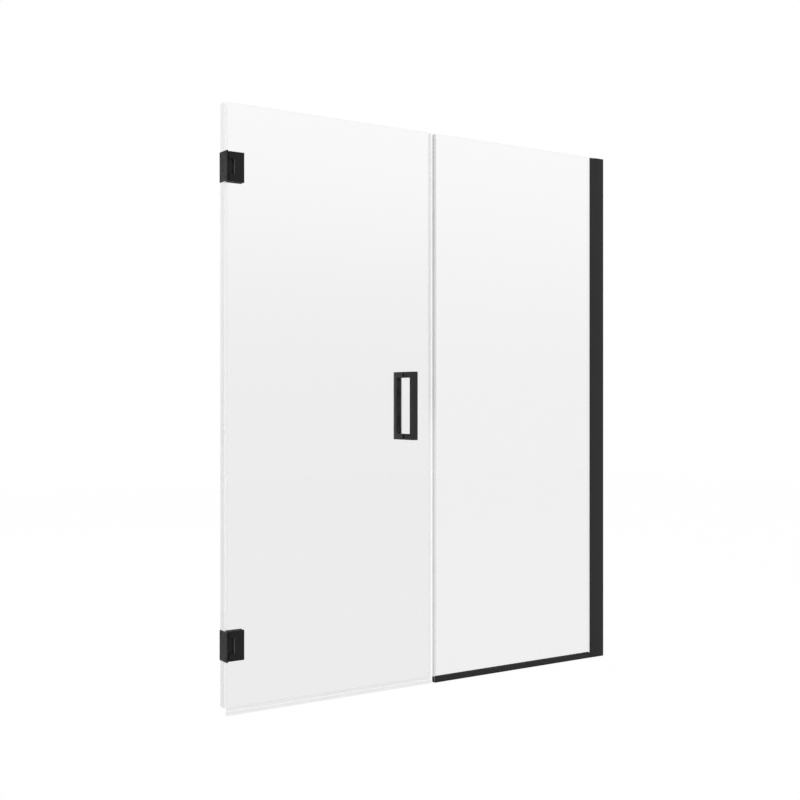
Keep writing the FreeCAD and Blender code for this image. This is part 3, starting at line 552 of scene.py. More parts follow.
class Finish(Enum):
    """Every finish of the enclosure."""

    HINGE_COAT = MatteCoat("hinge_matte_black", grey(0.012), grey(0.075))
    PULL_COAT = MatteCoat("pull_matte_black", grey(0.023), grey(0.060), wear_amount=0.3)
    # Painted light: the inner pull is the same black as the outer one, made lighter because it gets
    # less light through the glass.
    INNER_PULL_COAT = MatteCoat("inner_pull_matte_black", grey(0.036), grey(0.075), wear_amount=0.3)
    # Painted light: a light grey for the clamp window's end wall, which lies in shade in its recess.
    RUBBED_COAT = MatteCoat("rubbed_window_wall", grey(0.33), grey(0.36))
    CHANNEL_COAT = MatteCoat("channel_matte_black", grey(0.021), grey(0.080), cloud_scale=6.0)
    SAWN_END = BrushedSteel("sawn_aluminium_end", grey(0.26), grey(0.20), (0.05, 1.0, 1.0))
    STEEL = BrushedSteel("brushed_steel_screws", (0.52, 0.52, 0.53, 1.0), (0.40, 0.40, 0.41, 1.0))
    NYLON = MatteCoat("black_nylon", grey(0.022), grey(0.05), grain_scale=900.0, shine=0.3)
    GASKET = MatteCoat("dark_gasket", grey(0.014), grey(0.03), (0.6, 0.75), grain_scale=1400.0,
                       shine=0.2, slot=Slot.GASKET)
    WASHER_GASKET = MatteCoat("washer_gasket", grey(0.008), grey(0.02), (0.6, 0.7),
                              grain_scale=1400.0, shine=0.1, slot=Slot.GASKET)
    # Both panes grey towards the bottom as a painted reflection.
    DOOR_GLASS = ClearGlass(
        "door_clear_glass", ((0.0, 0.835), (0.50, 0.835), (0.70, 0.865), (0.87, 0.925), (1.0, 0.945)))
    PANEL_GLASS = ClearGlass(
        "panel_clear_glass", ((0.0, 0.865), (0.50, 0.865), (0.70, 0.885), (0.87, 0.925), (1.0, 0.945)))
    # Painted reflection: the wall seal's fins thin towards the top.
    WALL_VINYL = SoftVinyl(
        "wall_seal_vinyl", grey(0.92), grey(0.58), milky_cover=0.33, upper_thinning=0.13,
        turn_heights=(0.9, 1.9))
    SWEEP_VINYL = SoftVinyl(
        "sweep_vinyl", grey(0.92), grey(0.58), clear_cover=0.05, milky_cover=0.17)
    # Painted reflection: the strike seal darkens above its turn height.
    STRIKE_VINYL = SoftVinyl(
        "strike_vinyl", grey(0.92), grey(0.55), milky_cover=0.01, upper_cover=0.07)
    # Painted shade: the strip's grey colour and cover stand in for the dark seen through the pane's
    # edge.
    STRIP_VINYL = SoftVinyl(
        "panel_strip_vinyl", grey(0.52), grey(0.52), clear_cover=0.12, upper_cover=0.12)
    # Painted light: the ground edges glow so that they read light inside the glass instead of dark.
    GROUND_EDGE = MatteCoat(
        "ground_glass_edge", (0.29, 0.30, 0.30, 1.0), grey(0.35), (0.3, 0.45), grain_scale=1800.0,
        cloud_scale=30.0, wear_amount=0.0, shine=0.5, cover=0.6, led_light=0.62)
    UPRIGHT_EDGE = MatteCoat(
        "ground_upright_edge", (0.60, 0.62, 0.615, 1.0), grey(0.70), (0.3, 0.45),
        grain_scale=1800.0, cloud_scale=30.0, wear_amount=0.0, shine=0.5, led_light=0.37)


# Meshes


def skin(rings: Sequence[Sequence[Vector]], is_bored: bool = False) -> Solid:
    """Joins rings of points into a closed solid.

    Args:
        rings: The rings in order, in millimetres, each with as many points.
        is_bored: Whether the last ring joins the first; otherwise both are capped.

    Returns:
        The solid, in metres.
    """
    shape = bmesh.new()
    placed = [[shape.verts.new(point * MM) for point in ring] for ring in rings]
    pairs = list(zip(placed, placed[1:]))
    if is_bored:
        pairs.append((placed[-1], placed[0]))
    else:
        shape.faces.new(placed[0])
        shape.faces.new(placed[-1])
    for one, other in pairs:
        for index in range(len(one)):
            after = (index + 1) % len(one)
            shape.faces.new((one[index], one[after], other[after], other[index]))
    return shape


def prism(outline: Outline, run: Run, start: float, stop: float) -> Solid:
    """Draws a flat outline out into a solid.

    Args:
        outline: The corners in the section's plane, in millimetres.
        run: The axis that it is drawn out along.
        start: One end on that axis.
        stop: The other end.

    Returns:
        The closed solid, in metres.
    """
    low, high = sorted((start, stop))
    if run is Run.ALONG_Y:
        low, high = -high, -low
    turn = run.matrix
    shape = skin([[turn @ Vector((u, v, level)) for u, v in outline] for level in (low, high)])
    bmesh.ops.remove_doubles(shape, verts=shape.verts, dist=SAME_POINT)
    bmesh.ops.recalc_face_normals(shape, faces=shape.faces)
    return shape


def circle(centre: Point, radius: float, count: int = 32, start: float = 0.0,
           sweep: float = 360.0) -> Outline:
    """Points on a circle or an arc.

    Args:
        centre: Middle of the circle.
        radius: Its radius.
        count: How many steps round it.
        start: Angle of the first point in degrees.
        sweep: Angle covered; a full turn leaves out the repeated last point.

    Returns:
        The points in order.
    """
    last = count if abs(sweep) >= 360.0 else count + 1
    points = []
    for index in range(last):
        angle = math.radians(start + sweep * index / count)
        points.append((centre[0] + radius * math.cos(angle), centre[1] + radius * math.sin(angle)))
    return points


def soften(outline: Outline, radius: float) -> Outline:
    """Rounds every corner of a closed outline.

    Args:
        outline: The corners in order.
        radius: Corner radius; a short side holds a smaller one.

    Returns:
        The outline with its corners rounded.
    """
    straight, most_of_side, steps = math.radians(12), 0.45, 3
    count = len(outline)
    rounded = []
    for index in range(count):
        corner = Vector(outline[index])
        before = Vector(outline[index - 1]) - corner
        after = Vector(outline[(index + 1) % count]) - corner
        bend = math.pi - before.angle(after)
        if bend < straight:
            rounded.append(tuple(corner))
            continue
        shortest = min(before.length, after.length)
        reach = min(radius * math.tan(bend / 2), shortest * most_of_side)
        first = corner + before.normalized() * reach
        last = corner + after.normalized() * reach
        for step in range(steps + 1):
            share = step / steps
            point = first * (1 - share) ** 2 + corner * 2 * share * (1 - share) + last * share ** 2
            rounded.append(tuple(point))
    return rounded


def mirrored(half: Outline) -> Outline:
    """Completes one half of an outline with its mirror image across the first axis."""
    return half + [(u, -v) for u, v in reversed(half)]


def to_mesh(shape: Solid, name: str) -> Mesh:
    """Writes a solid to a new mesh.

    Args:
        shape: The solid, which is used up.
        name: Name of the mesh.

    Returns:
        The mesh.
    """
    mesh = bpy.data.meshes.new(name)
    shape.to_mesh(mesh)
    shape.free()
    return mesh


def link(name: str, data: bpy.types.ID) -> bpy.types.Object:
    """Puts a mesh, light or camera in the scene as an object at the origin.

    Args:
        name: Name of the object.
        data: What it shows.

    Returns:
        The object.
    """
    thing = bpy.data.objects.new(name, data)
    bpy.context.scene.collection.objects.link(thing)
    return thing


def discard(thing: bpy.types.Object) -> None:
    """Removes an object and its mesh.

    Args:
        thing: The object.
    """
    mesh = thing.data
    bpy.data.objects.remove(thing)
    bpy.data.meshes.remove(mesh)


def evaluated_mesh(thing: bpy.types.Object, name: str) -> Mesh:
    """Reads the plain mesh that an object's modifiers give.

    Args:
        thing: The object.
        name: Name of the mesh.

    Returns:
        The plain mesh.
    """
    bpy.context.view_layer.update()
    graph = bpy.context.evaluated_depsgraph_get()
    mesh = bpy.data.meshes.new_from_object(thing.evaluated_get(graph))
    mesh.name = name
    return mesh


def mark_faces(mesh: Mesh, label: str, marks: Sequence[float]) -> None:
    """Writes a mark from 0 to 1 on every face."""
    layer = mesh.attributes.new(label, "FLOAT", "FACE")
    layer.data.foreach_set("value", [float(mark) for mark in marks])


def carve(name: str, blank: Solid, added: Sequence[Solid], cuts: Sequence[Solid],
          softness: float) -> Mesh:
    """Machines a blank and breaks its edges.

    Args:
        name: Name of the piece.
        blank: The solid to start from.
        added: Solids joined to it first.
        cuts: Solids cut from it after that.
        softness: Width of the broken edges in millimetres.

    Returns:
        The finished mesh, its broken edges marked for the painted edge highlight.
    """
    piece = link(name + "_blank", to_mesh(blank, name + "_blank"))
    for _ in range(2):
        piece.data.materials.append(None)
    piece.data.shade_smooth()
    tools = [link(name + "_tool", to_mesh(shape, name + "_tool")) for shape in (*added, *cuts)]
    for index, tool in enumerate(tools):
        step = piece.modifiers.new("carving", "BOOLEAN")
        step.operation = "UNION" if index < len(added) else "DIFFERENCE"
        step.solver = "EXACT"
        step.object = tool
    bevel = piece.modifiers.new("broken_edges", "BEVEL")
    bevel.width = softness * MM
    bevel.segments = BROKEN_EDGE_STEPS
    bevel.limit_method = "ANGLE"
    bevel.angle_limit = BROKEN_EDGE_ANGLE
    bevel.harden_normals = True
    bevel.material = 1
    result = evaluated_mesh(piece, name)
    mark_faces(result, EDGE_MARK, [face.material_index == 1 for face in result.polygons])
    result.polygons.foreach_set("material_index", [0] * len(result.polygons))
    result.materials.clear()
    for spare in (piece, *tools):
        discard(spare)
    return result


def join_meshes(name: str, meshes: Sequence[Mesh], material: Material) -> Mesh:
    """Joins finished meshes into one.

    Args:
        name: Name of the result.
        meshes: The meshes, which are used up.
        material: The finish of the result.

    Returns:
        The joined mesh.
    """
    shape = bmesh.new()
    for mesh in meshes:
        shape.from_mesh(mesh)
        bpy.data.meshes.remove(mesh)
    bmesh.ops.recalc_face_normals(shape, faces=shape.faces)
    joined = to_mesh(shape, name)
    joined.materials.append(material)
    return joined


# Geometry node trees for what repeats or follows a line


class NodeTool:
    """A geometry node tree with named inputs that makes plain meshes."""

    label = "Tool"
    takes: dict[str, str] = {}

    def __init__(self) -> None:
        """Opens the tree and lets the kind of tool lay its nodes."""
        takes = {"Geometry": "Geometry", **self.takes, "Material": "Material"}
        board = GroupBoard("GeometryNodeTree", self.label, takes, {"Geometry": "Geometry"})
        real = board.add("GeometryNodeRealizeInstances", {0: self.lay(board)})
        dressed = board.add("GeometryNodeSetMaterial", {
            "Geometry": real, "Material": board.taken("Material"),
        })
        self.tree = board.finish({"Geometry": dressed})

    def lay(self, board: GroupBoard) -> Node:
        """Lays the tool's own nodes and returns the last one."""
        raise NotImplementedError

    def run(self, name: str, mesh: Mesh, material: Material, **inputs: object) -> Mesh:
        """Runs the tree on a mesh.

        Args:
            name: Name of the result.
            mesh: What the tree works on, which is used up.
            material: The finish that it sets.
            inputs: The tree's named inputs, with underscores for spaces.

        Returns:
            The plain mesh that comes out.
        """
        piece = link(name + "_run", mesh)
        modifier = piece.modifiers.new(self.label, "NODES")
        modifier.node_group = self.tree
        values = {key.replace("_", " ").title(): value for key, value in inputs.items()}
        values["Material"] = material
        for item in self.tree.interface.items_tree:
            if item.item_type == "SOCKET" and item.in_out == "INPUT" and item.name in values:
                modifier[item.identifier] = values[item.name]
        result = evaluated_mesh(piece, name)
        piece.modifiers.clear()
        discard(piece)
        return result


class ExtrusionDie(NodeTool):
    """Draws a section out along a straight line, as seals and channels are made."""

    label = "Extrusion Die"
    takes = {"Start": "Vector", "Length": "Float", "Turn": "Vector", "Smooth Angle": "Float"}

    def lay(self, board: GroupBoard) -> Node:
        """Fills the section, draws it out, closes it and sets it in place.

        Args:
            board: The tree's board.

        Returns:
            The node with the finished length.
        """
        loops = board.add("GeometryNodeMeshToCurve", {0: board.taken("Geometry")})
        face = board.add("GeometryNodeFillCurve", {0: loops}, mode="NGONS")
        reach = board.add("ShaderNodeCombineXYZ", {2: board.taken("Length")})
        drawn = board.add("GeometryNodeExtrudeMesh", {0: face, "Offset": reach, "Individual": False})
        foot = board.add("GeometryNodeFlipFaces", {0: face})
        both = board.add("GeometryNodeJoinGeometry", {0: drawn})
        board.join(foot, both, 0)
        closed = board.add("GeometryNodeMergeByDistance", {0: both, "Distance": SAME_POINT})
        placed = board.add("GeometryNodeTransform", {
            0: closed,
            "Translation": board.taken("Start"),
            "Rotation": board.add("FunctionNodeEulerToRotation", {0: board.taken("Turn")}),
        })
        smooth = board.add("GeometryNodeSetShadeSmooth", {0: placed, 2: True}, domain="FACE")
        bend = board.add("GeometryNodeInputMeshEdgeAngle")
        sharp = board.add("FunctionNodeCompare", {
            0: bend, 1: board.taken("Smooth Angle"),
        }, data_type="FLOAT", operation="GREATER_THAN")
        return board.add("GeometryNodeSetShadeSmooth", {0: smooth, 1: sharp, 2: False}, domain="EDGE")


class ScrewRow(NodeTool):
    """Sets copies of one fastener along a line, each turned by chance on its own axis."""

    label = "Screw Row"
    takes = {
        "Count": "Int", "First Place": "Vector", "Spacing": "Vector", "Turn": "Vector", "Seed": "Int",
    }

    def lay(self, board: GroupBoard) -> Node:
        """Lays the line of points and sets one turned copy on each.

        Args:
            board: The tree's board.

        Returns:
            The node with the copies.
        """
        line = board.add("GeometryNodeMeshLine", {
            "Count": board.taken("Count"),
            "Start Location": board.taken("First Place"),
            "Offset": board.taken("Spacing"),
        })
        chance = board.add("FunctionNodeRandomValue", {
            2: 0.0, 3: SIXTH_TURN, "Seed": board.taken("Seed"),
        }, data_type="FLOAT")
        spin = board.add("ShaderNodeCombineXYZ", {2: chance.outputs[1]})
        turned = board.add("FunctionNodeRotateRotation", {
            0: board.add("FunctionNodeEulerToRotation", {0: board.taken("Turn")}),
            1: board.add("FunctionNodeEulerToRotation", {0: spin}),
        }, rotation_space="LOCAL")
        return board.add("GeometryNodeInstanceOnPoints", {
            "Points": line, "Instance": board.taken("Geometry"), "Rotation": turned,
        })


class TurnedPart:
    """A part turned on a lathe, its axis on Z, seat at zero and shank pointing down."""

    STEPS = 24
    socket_width = 0.0
    socket_depth = 0.0
    bore_radius = 0.0

    @property
    def profile(self) -> Outline:
        """Radius and height of each point, in order."""
        raise NotImplementedError

    def hexagon_radius(self, angle: float) -> float:
        """Distance from the axis to the socket's side at this angle."""
        return self.socket_width / 2 / math.cos((angle % SIXTH_TURN) - SIXTH_TURN / 2)

    def build(self) -> Mesh:
        """Turns the profile.

        Returns:
            The closed mesh, in metres.
        """
        angles = [math.radians(360 * step / self.STEPS) for step in range(self.STEPS)]
        profile = self.profile
        rings = []
        if self.socket_width:
            top = profile[0][1]
            for level in (top - self.socket_depth, top):
                rings.append([(self.hexagon_radius(angle), level) for angle in angles])
        for radius, level in profile:
            rings.append([(radius, level)] * self.STEPS)
        shape = skin([
            [Vector((radius * math.cos(angle), radius * math.sin(angle), level))
             for angle, (radius, level) in zip(angles, ring)]
            for ring in rings
        ], self.bore_radius > 0)
        bmesh.ops.recalc_face_normals(shape, faces=shape.faces)
        mesh = to_mesh(shape, "turned_part")
        mesh.shade_smooth()
        mesh.set_sharp_from_angle(angle=SMOOTH_ANGLE)
        return mesh


@dataclass(frozen=True)
class Screw(TurnedPart):
    """A socket screw; its reach is the length of the shank under the seat."""

    head: Head
    head_radius: float
    head_height: float
    shank_radius: float
    reach: float
    socket_width: float
    socket_depth: float
    round_over: tuple[Point, ...] = ((1.0, 0.0), (0.45, 0.15), (0.12, 0.5), (0.0, 1.0))
    edge: float = 0.1
    sunk_rim: float = 0.15
    tip: float = 0.4

    @property
    def profile(self) -> Outline:
        """The outline from the head's rim to the tip of the shank.

        Returns:
            Radius and height of each point.
        """
        top, wide, narrow, soft = self.head_height, self.head_radius, self.shank_radius, self.head.value
        if self.head is Head.COUNTERSUNK:
            points = [(wide - self.sunk_rim, top), (wide, top - self.edge),
                      (narrow, top - self.edge - (wide - narrow))]
        else:
            points = [(wide - soft * inwards, top - soft * down) for inwards, down in self.round_over]
            points += [(wide, self.edge), (wide - self.edge, 0.0), (narrow, 0.0)]
        return points + [(narrow, self.tip - self.reach), (narrow - self.tip, -self.reach)]


@dataclass(frozen=True)
class Washer(TurnedPart):
    """A washer with rounded rims."""

    radius: float
    thickness: float
    rim: float
    bore_radius: float
    round_over: tuple[Point, ...] = ((1.0, 0.0), (0.3, 0.3), (0.0, 1.0))

    @property
    def profile(self) -> Outline:
        """The outline from the top of the bore round to its foot.

        Returns:
            Radius and height of each point.
        """
        rim = [(self.radius - self.rim * inwards, self.rim * down) for inwards, down in self.round_over]
        upper = [(radius, self.thickness - down) for radius, down in rim]
        return [(self.bore_radius, self.thickness), *upper, *reversed(rim), (self.bore_radius, 0.0)]


# The maker's bench


@dataclass(frozen=True)
class Piece:
    """What a visible piece is called, is made of, stands for and rides on."""

    name: str
    finish: Finish
    node: str
    body: Body = Body.DOOR


class Bench:
    """Holds the CAD nodes, the finishes and the tools."""

    def __init__(self, scene_frame: dict) -> None:
        """Makes the finishes and tools.
        """
        effects = SurfaceEffects()
        self.nodes: dict[str, bpy.types.Object] = scene_frame["nodes"]
        self.materials: dict[Finish, Material] = {
            finish: finish.value.make(effects) for finish in Finish
        }
        self.die = ExtrusionDie()
        self.row = ScrewRow()


# Sub-assemblies


@dataclass
class SubAssembly:
    """A part of the enclosure, with the ways to make its pieces and hand them to the frame."""

    bench: Bench
    DRILLED_FACET = 5e-5
    FLAT = math.radians(0.5)
    LOOSE_POINT = 1e-6

    def build(self) -> None:
        """Builds and dresses the pieces of this kind of sub-assembly."""
        raise NotImplementedError

    def hand_over(self, piece: Piece, mesh: Mesh) -> None:
        """Puts a finished piece in the scene, on its body and in its CAD node's place.

        Args:
            piece: What it is.
            mesh: Its mesh.
        """
        mesh.materials.clear()
        mesh.materials.append(self.bench.materials[piece.finish])
        thing = link(piece.name, mesh)
        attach(thing, piece.body.value)
        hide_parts(piece.node)
        LOG.info("%s: %d faces on %s", piece.name, len(mesh.polygons), piece.body.value)

    def touch_up(self, mesh: Mesh, finishes: Sequence[Finish], pick: Callable[[Face], int]) -> None:
        """Gives some faces of a piece a finish of their own.

        Args:
            mesh: The piece's mesh.
            finishes: The further finishes.
            pick: Tells a face's finish: nought for the piece's own, or a number in that list.
        """
        for finish in finishes:
            mesh.materials.append(self.bench.materials[finish])
        mesh.polygons.foreach_set("material_index", [int(pick(face)) for face in mesh.polygons])

    def dress(self, finish: Finish, *nodes: str) -> None:
        """Gives CAD nodes whose shape stays a better finish.

        Args:
            finish: Their finish.
            nodes: Their names.
        """
        for node in nodes:
            mesh = self.bench.nodes[node].data
            mesh.materials.clear()
            mesh.materials.append(self.bench.materials[finish])
            LOG.info("%s: dressed with %s", node, finish.value.name)

    def draw(self, piece: Piece, loops: Sequence[Outline], run: Run, ends: Sequence[Point],
             is_soft: Callable[[Vector], bool] | None = None) -> Mesh:
        """Draws one section out to one or more lengths and hands the piece over.

        Args:
            piece: What it is.
            loops: Outer outline and any hollows, in millimetres.
            run: The axis that it is drawn out along.
            ends: Where each length starts and ends on that axis.
            is_soft: Tells from a face's middle, in millimetres, whether it is of the soft grade.

        Returns:
            One mesh with all its lengths.
        """
        material = self.bench.materials[piece.finish]
        lengths = []
        for low, high in ends:
            section = bmesh.new()
            for outline in loops:
                points = [section.verts.new((u * MM, v * MM, 0.0)) for u, v in outline]
                for index, point in enumerate(points):
                    section.edges.new((point, points[(index + 1) % len(points)]))
            lengths.append(self.bench.die.run(
                piece.name, to_mesh(section, piece.name + "_section"), material,
                start=run.matrix @ Vector((0.0, 0.0, low * MM)), length=(high - low) * MM,
                turn=run.turn, smooth_angle=SMOOTH_ANGLE))
        joined = join_meshes(piece.name, lengths, material)
        if is_soft is not None:
            mark_faces(joined, SOFT_MARK, [is_soft(face.center / MM) for face in joined.polygons])
        self.hand_over(piece, joined)
        return joined

    def set_rows(self, piece: Piece, part: TurnedPart, firsts: Sequence[Place], spacing: float,
                 facing: Facing, seed: int, count: int = 2) -> None:
        """Sets rows of one fastener, each upwards from its first, and hands them over as a piece.

        Args:
            piece: What the rows are.
            part: The fastener.
            firsts: Place of each row's lowest fastener, in millimetres.
            spacing: Height from one to the next.
            facing: Where the heads point.
            seed: Seed of their chance turns.
            count: How many there are in a row.
        """
        material = self.bench.materials[piece.finish]
        rows = []
        for first in firsts:
            rows.append(self.bench.row.run(
                piece.name, part.build(), material, count=count, first_place=Vector(first) * MM,
                spacing=Vector((0, 0, spacing)) * MM, turn=facing.turn, seed=seed))
        self.hand_over(piece, rows[0] if len(rows) == 1 else join_meshes(piece.name, rows, material))

    def copy_pane(self, piece: Piece, level_edge: Finish, upright_edge: Finish) -> None:
        """Copies a pane, hands it over and gives its edges their own finish.

        Args:
            piece: What it is.
            level_edge: The finish of its top and bottom edges.
            upright_edge: The finish of its upright edges.
        """
        shape = bmesh.new()
        shape.from_mesh(self.bench.nodes[piece.node].data)
        bmesh.ops.remove_doubles(shape, verts=shape.verts, dist=self.LOOSE_POINT)
        bmesh.ops.dissolve_limit(
            shape, angle_limit=self.FLAT, verts=shape.verts, edges=shape.edges)
        mesh = to_mesh(shape, piece.name)
        self.hand_over(piece, mesh)
        self.touch_up(mesh, (level_edge, upright_edge), self.edge_kind)

    def edge_kind(self, face: Face) -> int:
        """Tells level edges (1) and upright edges (2) from a pane's faces and drilled facets (0)."""
        is_edge = abs(face.normal.y) < SQUARE_ON and face.area > self.DRILLED_FACET
        return int(is_edge) + int(is_edge and abs(face.normal.x) > SQUARE_ON)


@dataclass
class WallHinge(SubAssembly):
    """One wall-to-glass hinge: plates and pivot on the wall, clamps and pin on the door."""

    name: str
    height: float
    wall: float = -762.0
    pin_x: float = -740.0
    clamp_left: float = -750.5
    clamp_right: float = -699.0
    clamp_half: float = 45.0
    inner_face: float = 6.0
    outer_face: float = 13.5
    window_x: float = -730.2
    window_half: float = 23.0
    rubbed_facing: float = -0.6
    rubbed_band: float = 0.8
    swing_chamfer: float = 2.0
    chamfer_half: float = 60.0
    boss_left: float = -750.0
    boss_right: float = -722.5
    boss_half: float = 37.5
    split: float = 0.1
    pin_seat: float = 5.02
    pin_half: float = 36.0
    screw_x: float = -729.0
    screw_half_spacing: float = 30.5
    screw_radius: float = 3.0
    screw_hole: float = 3.05
    head_radius: float = 5.0
    head_hole: float = 5.2
    head_seat: float = 8.5
    head_height: float = 4.7
    screw_tip: float = -10.5
    blind_hole: float = -11.0
    block_screw_sunk: float = 0.4
    block_screw_half_spacing: float = 13.0
    glass_face: float = 5.0
    gasket_inset: float = 0.5
    gasket_softness: float = 0.2
    notch_x: float = -721.5
    notch_half: float = 39.0
    softness: float = 0.55

    def notched_plate(self, left: float, right: float, half: float, notch: Point,
                      faces: Point) -> Solid:
        """A plate with a notch that is open to the wall.

        Args:
            left: Its wall side.
            right: Its glass side.
            half: Half of its height.
            notch: The notch's end and half of its height.
            faces: The plate's two faces.

        Returns:
            The plate.
        """
        end, notch_half = notch
        corners = [
            (left, -half), (right, -half), (right, half), (left, half),
            (left, notch_half), (end, notch_half), (end, -notch_half), (left, -notch_half),
        ]
        return prism([(x, z + self.height) for x, z in corners], Run.ALONG_Y, *faces)

    def make_clamp(self, side: Side) -> None:
        """Machines one clamp with its half boss, pin seat and screw holes.

        Args:
            side: Outside or inside of the shower.
        """
        sign, window = side.value, (self.window_x, self.window_half)
        plate = self.notched_plate(self.clamp_left, self.clamp_right, self.clamp_half, window,
                                   (sign * self.inner_face, sign * self.outer_face))
        boss = self.notched_plate(self.boss_left, self.boss_right, self.boss_half, window,
                                  (sign * self.split, sign * (self.inner_face + OVERCUT)))
        seat = circle((self.pin_x, 0.0), self.pin_seat, count=40)
        beyond, cut = self.clamp_left - OVERCUT, self.swing_chamfer + OVERCUT
        front, before = sign * (self.outer_face - cut), sign * (self.outer_face + OVERCUT)
        swing_edge = [(beyond, front), (beyond, before), (self.clamp_left + cut, before)]
        cuts = [
            prism(outline, Run.ALONG_Z, self.height - half, self.height + half)
            for outline, half in ((seat, self.pin_half), (swing_edge, self.chamfer_half))
        ]
        deep = self.blind_hole if side is Side.OUTER else self.outer_face + OVERCUT
        for up in (-1, 1):
            centre = (self.screw_x, self.height + up * self.screw_half_spacing)
            cuts.append(prism(circle(centre, self.screw_hole, count=24), Run.ALONG_Y, 0.0, deep))
            if side is Side.INNER:
                cuts.append(prism(circle(centre, self.head_hole), Run.ALONG_Y, self.head_seat, deep))
        clamp = Piece(f"{self.name}_{side.label}_clamp_plate", Finish.HINGE_COAT,
                      f"{self.name}_hinge_{side.label}_clamp")
        mesh = carve(clamp.name, plate, [boss], cuts, self.softness)
        self.hand_over(clamp, mesh)
        # The window's end wall gets the light grey of painted light.
        self.touch_up(mesh, [Finish.RUBBED_COAT], self.is_window_wall)

    def is_window_wall(self, face: Face) -> bool:
        """Tells whether a face is of the window's end wall, which gets a light grey as painted light
        where the recess leaves it in shade.

        Args:
            face: A face of the clamp.

        Returns:
            Whether it is.
        """
        spot = face.center / MM
        on_wall = face.normal.x < self.rubbed_facing and abs(spot.y) > self.glass_face
        return on_wall and abs(spot.x - self.window_x) < self.rubbed_band

    def make_gasket(self, side: Side) -> None:
        """Cuts the sheet gasket between a clamp and the glass.

        Args:
            side: Outside or inside of the shower.
        """
        inset = self.gasket_inset
        sheet = self.notched_plate(
            self.clamp_left + inset, self.clamp_right - inset, self.clamp_half - inset,
            (self.notch_x, self.notch_half),
            (side.value * self.glass_face, side.value * self.inner_face))
        pad = Piece(f"{self.name}_{side.label}_clamp_pad", Finish.GASKET,
                    f"{self.name}_hinge_{side.label}_gasket")
        self.hand_over(pad, carve(pad.name, sheet, [], [], self.gasket_softness))

    def make_screws(self) -> None:
        """Sets the clamp screws from inside and the pivot block's from the back of the wall plate."""
        clamp_screw = Screw(
            Head.CAP, self.head_radius, self.head_height, self.screw_radius,
            reach=self.head_seat - self.screw_tip, socket_width=4.0, socket_depth=2.5)
        row = Piece(f"{self.name}_clamp_socket_screws", Finish.HINGE_COAT,
                    f"{self.name}_hinge_clamp_screws")
        low = (self.screw_x, self.head_seat, self.height - self.screw_half_spacing)
        self.set_rows(row, clamp_screw, [low], 2 * self.screw_half_spacing, Facing.INSIDE,
                      seed=3 + int(self.height))
        block_screw = Screw(
            Head.COUNTERSUNK, head_radius=4.6, head_height=0.0, shank_radius=2.5, reach=13.5,
            socket_width=2.5, socket_depth=1.5)
        row = Piece(f"{self.name}_block_countersunk_screws", Finish.HINGE_COAT,
                    f"{self.name}_hinge_block_screws", Body.FIXED)
        low = (self.wall + self.block_screw_sunk, 0.0, self.height - self.block_screw_half_spacing)
        self.set_rows(row, block_screw, [low], 2 * self.block_screw_half_spacing,
                      Facing.HINGE_WALL, seed=11 + int(self.height))

    def build(self) -> None:
        """Builds the hinge and dresses its wall plate, pivot block, bushings, pin and stop."""
        for side in Side:
            self.make_clamp(side)
            self.make_gasket(side)
        self.make_screws()
        for finish, parts in (
            (Finish.HINGE_COAT, ("wall_plate", "pivot_block")),
            (Finish.NYLON, ("bushings",)),
            (Finish.STEEL, ("pivot_pin", "detent_plunger", "detent_spring", "detent_set_screw")),
        ):
            self.dress(finish, *(f"{self.name}_hinge_{part}" for part in parts))


@dataclass
class SquarePull(SubAssembly):
    """A pair of square-bar pulls, back to back through the glass."""

    centre_x: float = -110.5
    centre_z: float = 922.0
    bar: float = 19.0
    half_spacing: float = 101.5
    foot: float = 6.0
    front: float = 59.0
    stud_hole: float = 4.05
    stud_depth: float = 10.0
    set_hole: float = 2.55
    washer_radius: float = 8.5
    washer_thickness: float = 1.0
    washer_rim: float = 0.25
    softness: float = 0.4

    def make_pull(self, side: Side) -> None:
        """Machines one pull: a bar with two legs to the glass.

        Args:
            side: Outside or inside of the shower.
        """
        sign, thick = side.value, self.bar / 2
        outer, inner = self.half_spacing + thick, self.half_spacing - thick
        front, back, foot = self.front, self.front - self.bar, self.foot
        corners = mirrored([(front, -outer), (foot, -outer), (foot, -inner), (back, -inner)])
        outline = [(sign * y, z + self.centre_z) for y, z in corners]
        blank = prism(outline, Run.ALONG_X, self.centre_x - thick, self.centre_x + thick)
        cuts = []
        for up in (-1, 1):
            centre = (self.centre_x, self.centre_z + up * self.half_spacing)
            cuts.append(prism(circle(centre, self.stud_hole, count=24), Run.ALONG_Y,
                              sign * (foot - OVERCUT), sign * (foot + self.stud_depth)))
            if side is Side.INNER:
                mouth = (self.centre_x, foot + self.stud_depth / 2)
                cuts.append(prism(circle(mouth, self.set_hole, count=20), Run.ALONG_Z,
                                  self.centre_z + up * (inner - OVERCUT), centre[1]))
        # The inner pull takes a lighter copy of the black as painted light.
        coat = Finish.INNER_PULL_COAT if side is Side.INNER else Finish.PULL_COAT
        pull = Piece(f"{side.label}_square_pull", coat, f"{side.label}_handle")
        self.hand_over(pull, carve(pull.name, blank, [], cuts, self.softness))

    def make_washers(self) -> None:
        """Sets the four washers between the pulls and the glass."""
        ring = Washer(self.washer_radius, self.washer_thickness, self.washer_rim, self.stud_hole)
        low = self.centre_z - self.half_spacing
        seats = (-self.foot, self.foot - self.washer_thickness)
        self.set_rows(Piece("pull_washers", Finish.WASHER_GASKET, "handle_washers"), ring,
                      [(self.centre_x, seat, low) for seat in seats], 2 * self.half_spacing,
                      Facing.INSIDE, seed=5)

    def build(self) -> None:
        """Builds both pulls and dresses their fasteners."""
        for side in Side:
            self.make_pull(side)
        self.make_washers()
        self.dress(Finish.STEEL, "handle_studs", "handle_set_screws")
        self.dress(Finish.NYLON, "handle_sleeves")


